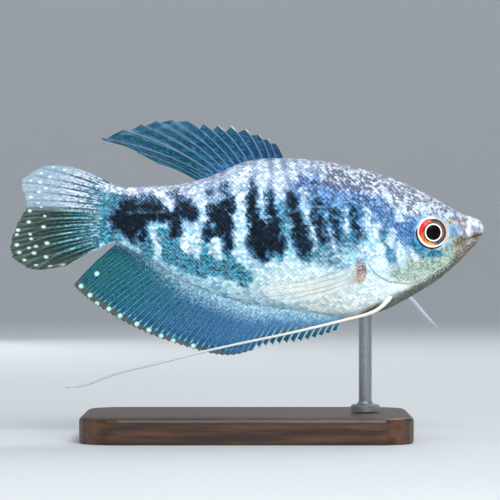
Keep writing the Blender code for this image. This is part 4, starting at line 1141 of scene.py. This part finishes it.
def dorsal_finish():
    f = Finish("dorsal_fin_film")
    ray, along, place = f.marks("ray along place")
    speck, broad = f.mottle(0.4, 3.0, (0.7, 1.0, 3.0), DORSAL_LEAN), f.mottle(2.4)
    f.colour = f.ramp(place, [
        (0.0, "0E3254"), (0.3, "0A3A5A"), (0.62, "0A4258"), (0.85, "0A3F4E"), (1.0, "104E5A"),
    ])
    f.paint((speck * 0.6 + broad * 0.4).spread(0.42, 0.6) * 0.6, "051E30")
    f.paint(speck.spread(0.52, 0.62) * 0.55, "2A80A6")
    f.paint((along.spread(0.5, 1.0) * broad.spread(0.4, 0.6)) * 0.4, "3A6C7A")
    root = 1 - along.spread(0.0, 0.25)
    f.paint(root * speck.spread(0.45, 0.6) * 0.7, "4F92D0")
    patches = f.mottle(1.5, 3.0, (1.8, 1.0, 1.0)).spread(0.5, 0.68)
    f.paint(along.spread(0.7, 0.95) * patches * place.spread(0.3, 0.6) * 0.5, "66A6C4")
    tip = along.spread(0.8, 1.0) * (1 - place.spread(0.35, 0.5))
    f.paint(ray * (0.7 + tip * 0.3), f.mix(tip, "8CA4CC", SNOW))
    end = along.spread(0.95, 1.0) * place.ridge(0.8, 0.08)
    f.paint(end, "16242E")
    return film(f, speck, ray, 0.97 - along.spread(0.7, 1.0) * (1 - ray) * 0.12)


def anal_finish():
    f = Finish("anal_fin_film")
    ray, twig, along = f.marks("ray twig along")
    place, spot = f.marks("place spot")
    speck, fine = f.mottle(0.45, 3.0), f.mottle(0.3, 2.0, (0.6, 1.0, 1.6), ANAL_LEAN)
    f.colour = f.ramp(place, [
        (0.0, "6C9CC0"), (0.22, "38709A"), (0.42, "1A5A82"), (0.62, "0E4E6E"),
        (0.82, "0B4658"), (1.0, "0C3C42"),
    ])
    f.paint((speck * 0.5 + fine * 0.5).spread(0.42, 0.58) * 0.5, "123E66")
    f.paint(fine.spread(0.54, 0.64) * 0.4 * (1 - place.spread(0.5, 0.8)), "7CA8CC")
    rear = place.spread(0.45, 0.8)
    reach = along + (speck - 0.5) * 0.5 + place.spread(0.6, 0.9) * 0.2 - (1 - place.spread(0.2, 0.6)) * 0.12
    pearly = f.mix(fine.spread(0.42, 0.58), PEARL_SHADE, "D0ECF4")
    f.paint(1 - reach.spread(0.02, 0.36), pearly)
    line = f.mix(rear, "7AA2CC", "5CC4BC")
    dashes = f.mottle(0.5, 1.0).spread(0.38, 0.56)
    shown = along.spread(0.12, 0.3) * (0.35 + rear * 0.15)
    f.paint(ray * shown * (0.5 + dashes * 0.7), line)
    f.paint(twig * shown * dashes * 0.6, line)
    flecks = f.mottle(0.7, 1.0).spread(0.45, 0.55)
    outer = along.spread(0.78, 0.84) * (1 - along.spread(0.93, 0.96)) * flecks
    f.paint(outer * 0.7 * (1 - ray), "123A6A")
    f.paint(along.ridge(0.9, 0.05) * ray * place.spread(0.3, 0.4) * 0.7, "9AF0E4")
    hem = (along + place.spread(0.6, 1.0) * 0.07).spread(0.91, 0.97) * place.spread(0.25, 0.4)
    f.paint(hem * 0.85, "4E5648")
    front_tip = along.spread(0.5, 0.75) * (1 - place.spread(0.2, 0.3))
    f.paint(front_tip * (1 - ray) * 0.75, "14384A")
    f.paint(front_tip * ray * 0.8, "B4EAEC")
    f.paint(spot, "BCF4EE")
    return film(f, speck, ray, 1 - hem * (1 - spot) * 0.3)


def caudal_finish():
    f = Finish("caudal_fin_film")
    ray, stem, gap = f.marks("ray stem gap")
    along, place, spot, twig = f.marks("along place spot twig")
    speck = f.mottle(0.4, 3.0, (2.0, 1.0, 1.0))
    lower = (place + along * 0.06).spread(0.51, 0.59)
    outer = (along + (speck - 0.5) * 0.3).spread(0.45, 0.85)
    pale = f.mix(speck.spread(0.42, 0.62), "8CA8C4", "E8F2F8")
    pale = f.mix(ray * 0.35, pale, "8698AC")
    streaked = f.mix(gap * (1 - outer * 0.6), pale, "141C20")
    olive = f.mix(speck.spread(0.4, 0.6), "0A1410", "22302A")
    dashes = f.mottle(0.5, 1.0, (1.6, 1.0, 1.0)).spread(0.36, 0.52)
    cyan = f.mix(speck.spread(0.4, 0.6), "2FB4D4", "B6F8F8")
    dotted_cyan = f.mix((stem + twig * 0.45) * (1 - outer) * (0.35 + dashes * 0.65), olive, cyan)
    f.colour = f.mix(lower, streaked, dotted_cyan)
    clear = f.mix(lower, "7E9CB2", "2C3E36")
    clear = f.mix(speck.spread(0.44, 0.62) * 0.4, clear, f.mix(lower, "6C7E7C", "50625C"))
    clear = f.mix(ray * (0.55 - lower * 0.2), clear, f.mix(lower, "B4C0C0", "94A69E"))
    f.paint(outer * (0.65 + lower * 0.3), clear)
    edge = 1 - place.spread(0.0, 0.07)
    f.paint(edge * (1 - outer * 0.6) * 0.8, pale)
    root = 1 - (along + (speck - 0.5) * 0.8 - stem * 0.1).spread(0.1, 0.4)
    f.paint(root * 0.9, f.mix(speck.spread(0.46, 0.6), "1E6080", "B0DCE8"))
    f.paint(spot * 0.85, "D2F2F6")
    return film(f, speck, ray, 1 - outer * (1 - spot) * (1 - ray * 0.6) * 0.15)


def pectoral_finish():
    f = Finish("pectoral_fin_film")
    ray, along, speck = f.mark("ray"), f.mark("along"), f.mottle(0.5, 2.0)
    f.colour = f.mix(speck.spread(0.4, 0.6), "E8EEE8", "FAFAF4")
    ray = ray * along.spread(0.04, 0.3)
    f.paint(ray, "8C9080")
    base = 1 - along.spread(0.0, 0.12)
    f.paint(base * 0.8, "BE9474")
    return f.surface({
        "Roughness": 0.5 + speck * 0.1, "Specular IOR Level": 0.15,
        "Alpha": 0.16 + ray * (0.6 - along * 0.2) + base * 0.2, "Normal": f.raised(speck, 0.02),
    })


def filament_finish(name, light, dark, stripe):
    f = Finish(name)
    along, line, speck = f.mark("along"), f.mark("stripe"), f.mottle(0.5, 2.0, (0.3, 1.0, 1.0))
    f.colour = f.mix(along.spread(0.3, 1.0), light, dark)
    f.paint(speck.spread(0.4, 0.62) * 0.3, "A7B4B8")
    f.paint(line * stripe, "3F6F80")
    return f.surface({
        "Roughness": 0.34 + speck * 0.1, "Coat Weight": 0.3, "Normal": f.raised(speck, 0.05),
    })


def eye_finish():
    f = Finish("eye_gloss")
    reach, speck = f.mark("reach") * EYE_WIDE, f.mottle(0.3, 3.0)
    iris = f.mix(speck.spread(0.4, 0.62), "16242C", "33505E")
    wide = f.mark("red") * 0.28 + f.mark("copper") * 0.12 - f.mark("amber") * 0.1
    band = reach.spread(2.05, 2.15) * (1 - (reach - wide).spread(3.04, 3.14))
    outer = (reach + (speck - 0.5) * 1.6).spread(2.38, 2.6)
    iris = f.mix(f.mark("copper") * reach.ridge(2.38, 0.3) * 0.85, iris, "C46A2C")
    iris = f.mix(f.mark("red") * outer, iris, f.mix(speck.spread(0.4, 0.6), "D81E16", "FF4020"))
    iris = f.mix(f.mark("orange") * outer, iris, "FF6A14")
    iris = f.mix(f.mark("amber") * (reach + (speck - 0.5) * 1.6).spread(2.3, 2.5), iris, "F0A030")
    f.colour = f.mix(f.mark("copper") * reach.spread(2.6, 2.9), "FBFBF6", "D8BC9C")
    f.paint(band, iris)
    pupil = 1 - reach.spread(1.74, 1.82)
    f.paint(pupil, "010204")
    f.paint(reach.ridge(2.12, 0.12) * 0.75, "1E1A1A")
    return f.surface({
        "Roughness": 0.3 + speck * 0.08, "Coat Weight": 0.4 - pupil * 0.38,
        "Coat Roughness": 0.02, "Specular IOR Level": 0.1,
    })


def eye_rim_finish():
    f = Finish("eye_rim_skin")
    reach, speck = f.mark("reach"), f.mottle(0.4, 3.0)
    skin = f.mix(speck.spread(0.4, 0.6), "6E97C6", "C4DDEE")
    f.colour = f.mix(reach.spread(3.42, 3.52), "F4F6F2", skin)
    # Painted shadow on the rear and lower side of the eye's rim
    f.paint((f.mark("dark") * reach.ridge(3.7, 0.4)).spread(0.05, 0.6), "0C1016")
    f.paint(f.mark("tan") * reach.ridge(3.62, 0.24) * 0.85, "C9A27C")
    return f.surface({
        "Roughness": 0.32 + speck * 0.1, "Coat Weight": 0.15, "Specular IOR Level": 0.15,
        "Normal": f.raised(speck, 0.05),
    })


def base_finish():
    """Dark oiled wood with its grain along the base."""
    f = Finish("walnut")
    grain = f.mottle(1.4, 4.0, (14.0, 1.0, 1.0))
    pores = f.mottle(0.4, 2.0, (12.0, 1.0, 1.0))
    rings = f.add("ShaderNodeTexWave", {"bands_direction": "Y"}, {
        "Vector": f.add("ShaderNodeMapping", {}, {"Vector": f.place, "Scale": (0.1, 1.0, 0.3)}),
        "Scale": 60.0, "Distortion": 2.5, "Detail": 2.0, "Detail Scale": 0.6,
    }, "Fac")
    f.colour = f.mix((grain * 0.8 + rings * 0.2).spread(0.35, 0.65), "2B1A10", "5C3A22")
    f.paint(pores.spread(0.55, 0.7) * 0.5, "170D08")
    return f.surface({
        "Roughness": 0.4 + pores * 0.15, "Coat Weight": 0.25, "Coat Roughness": 0.25,
        "Normal": f.raised(pores, 0.08),
    })


def rod_finish():
    """Turned and brushed steel."""
    f = Finish("brushed_steel")
    turned = f.mottle(0.25, 3.0, (0.2, 0.2, 2.0))
    f.colour = f.mix(turned.spread(0.35, 0.65), "8E9094", "C2C4C8")
    return f.surface({
        "Metallic": 1.0, "Roughness": 0.26 + turned * 0.2, "Normal": f.raised(turned, 0.02),
    })


def dress_stand():
    for node, finish in (("stand_base", base_finish()), ("stand_rod", rod_finish())):
        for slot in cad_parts[node].material_slots:
            slot.material = finish


SWEEP_FLOOR, SWEEP_WALL, SWEEP_HEIGHT, SWEEP_BEND, SWEEP_SIDES = 1.15, 1.75, 1.9, 0.6, 96


def make_studio():
    """A pale floor that curves up into a round wall, so that every side has a plain background."""
    bend = np.linspace(0, math.pi / 2, 24)
    radius = np.concatenate([[0.001, 0.2], SWEEP_FLOOR + SWEEP_BEND * np.sin(bend), [SWEEP_WALL]])
    height = np.concatenate([[0.0, 0.0], SWEEP_BEND * (1 - np.cos(bend)), [SWEEP_HEIGHT]])
    angle, out = circle(SWEEP_SIDES), radius[:, None]
    rings = np.stack([out * np.cos(angle), out * np.sin(angle), height[:, None] + 0 * angle], -1)
    quads, triangles, _ = closed_faces(len(radius), SWEEP_SIDES)
    points = np.vstack([rings.reshape(-1, 3), [(0, 0, 0)]])
    mesh = bpy.data.meshes.new("studio_sweep")
    mesh.from_pydata(points.tolist(), [], quads.tolist() + triangles[:SWEEP_SIDES].tolist())
    mesh.shade_smooth()
    f = Finish("sweep_paper")
    speck = f.mottle(4.0, 3.0)
    f.colour = f.mix(speck, "E2E4E6", "E8EAEC")
    mesh.materials.append(f.surface({"Roughness": 0.85, "Specular IOR Level": 0.2}))
    put("studio_sweep", mesh)


def add_light(name, place, size, power, colour, glints=True):
    """A round lamp, in metres and watts, aimed at the fish; without glints it isn't mirrored in gloss."""
    data = bpy.data.lights.new(name, "AREA")
    data.shape, data.size, data.energy, data.color = "DISK", size, power, colour
    light = put(name, data)
    light.location = place
    direction = np.subtract((0, 0, AXIS_HEIGHT * MM), place)
    yaw = math.atan2(direction[1], direction[0]) - math.pi / 2
    pitch = math.atan2(math.hypot(direction[0], direction[1]), -direction[2])
    light.rotation_euler = (pitch, 0, yaw)
    light.visible_camera = False
    light.visible_glossy = glints


CLEAR, COOL, WARM = (0.95, 0.985, 1.0), (0.95, 0.98, 1.0), (1.0, 1.0, 0.98)


def light_studio():
    add_light("key_light", (0.15, -0.60, 0.52), 0.45, 3.4, CLEAR)
    add_light("fill_light", (-0.50, -0.62, 0.10), 0.4, 1.5, COOL, False)
    add_light("belly_light", (0.20, -0.50, 0.015), 0.3, 2.4, WARM, False)
    add_light("back_light", (-0.35, 0.65, 0.14), 0.4, 1.3, COOL, False)
    add_light("rim_light", (0.25, 0.6, 0.7), 0.45, 2.2, COOL)
    world = bpy.data.worlds.new("studio_air")
    world.use_nodes = True
    air = world.node_tree.nodes["Background"]
    air.inputs["Color"].default_value = (0.86, 0.92, 1.0, 1.0)
    air.inputs["Strength"].default_value = 0.4
    bpy.context.scene.world = world


# The photograph's 500 pixels span its frame's width at the fish
FRAME_WIDTH, SENSOR = 116.28, 36.0
CAMERA = (0.81, -700.0, 43.8)


def place_camera():
    data = bpy.data.cameras.new("camera")
    data.sensor_width = SENSOR
    data.lens = SENSOR * -CAMERA[1] / FRAME_WIDTH
    data.clip_start, data.clip_end = 0.01, 10.0
    camera = put("camera", data)
    camera.location = np.multiply(CAMERA, MM)
    camera.rotation_euler = (math.pi / 2, 0, 0)
    bpy.context.scene.camera = camera


def build():
    scene = bpy.context.scene
    scene.view_settings.view_transform = "Standard"
    flesh = flesh_finish("flesh")
    make_skin(flesh)
    for side in (RIGHT, LEFT):
        make_scales(side, flesh)
    make_dorsal(dorsal_finish())
    make_anal(anal_finish())
    make_caudal(caudal_finish())
    clear = pectoral_finish()
    gloss, rim = eye_finish(), eye_rim_finish()
    for side in (RIGHT, LEFT):
        make_pectoral(side, clear)
        make_eye(side, gloss)
        make_eye_rim(side, rim)
    ivory = filament_finish("ivory_filament", "EFE9DC", "A9BCC8", 0.0)
    slate = filament_finish("slate_filament", "E8F0F6", "C4D8E8", 0.5)
    make_filament("pelvic_thread_right", PELVIC_RIGHT, RIGHT, 100, ivory, "pelvic_fin_right")
    make_filament("pelvic_blade_left", PELVIC_LEFT, LEFT, 50, slate, "pelvic_fin_left")
    dress_stand()
    make_studio()
    light_studio()
    place_camera()


build()
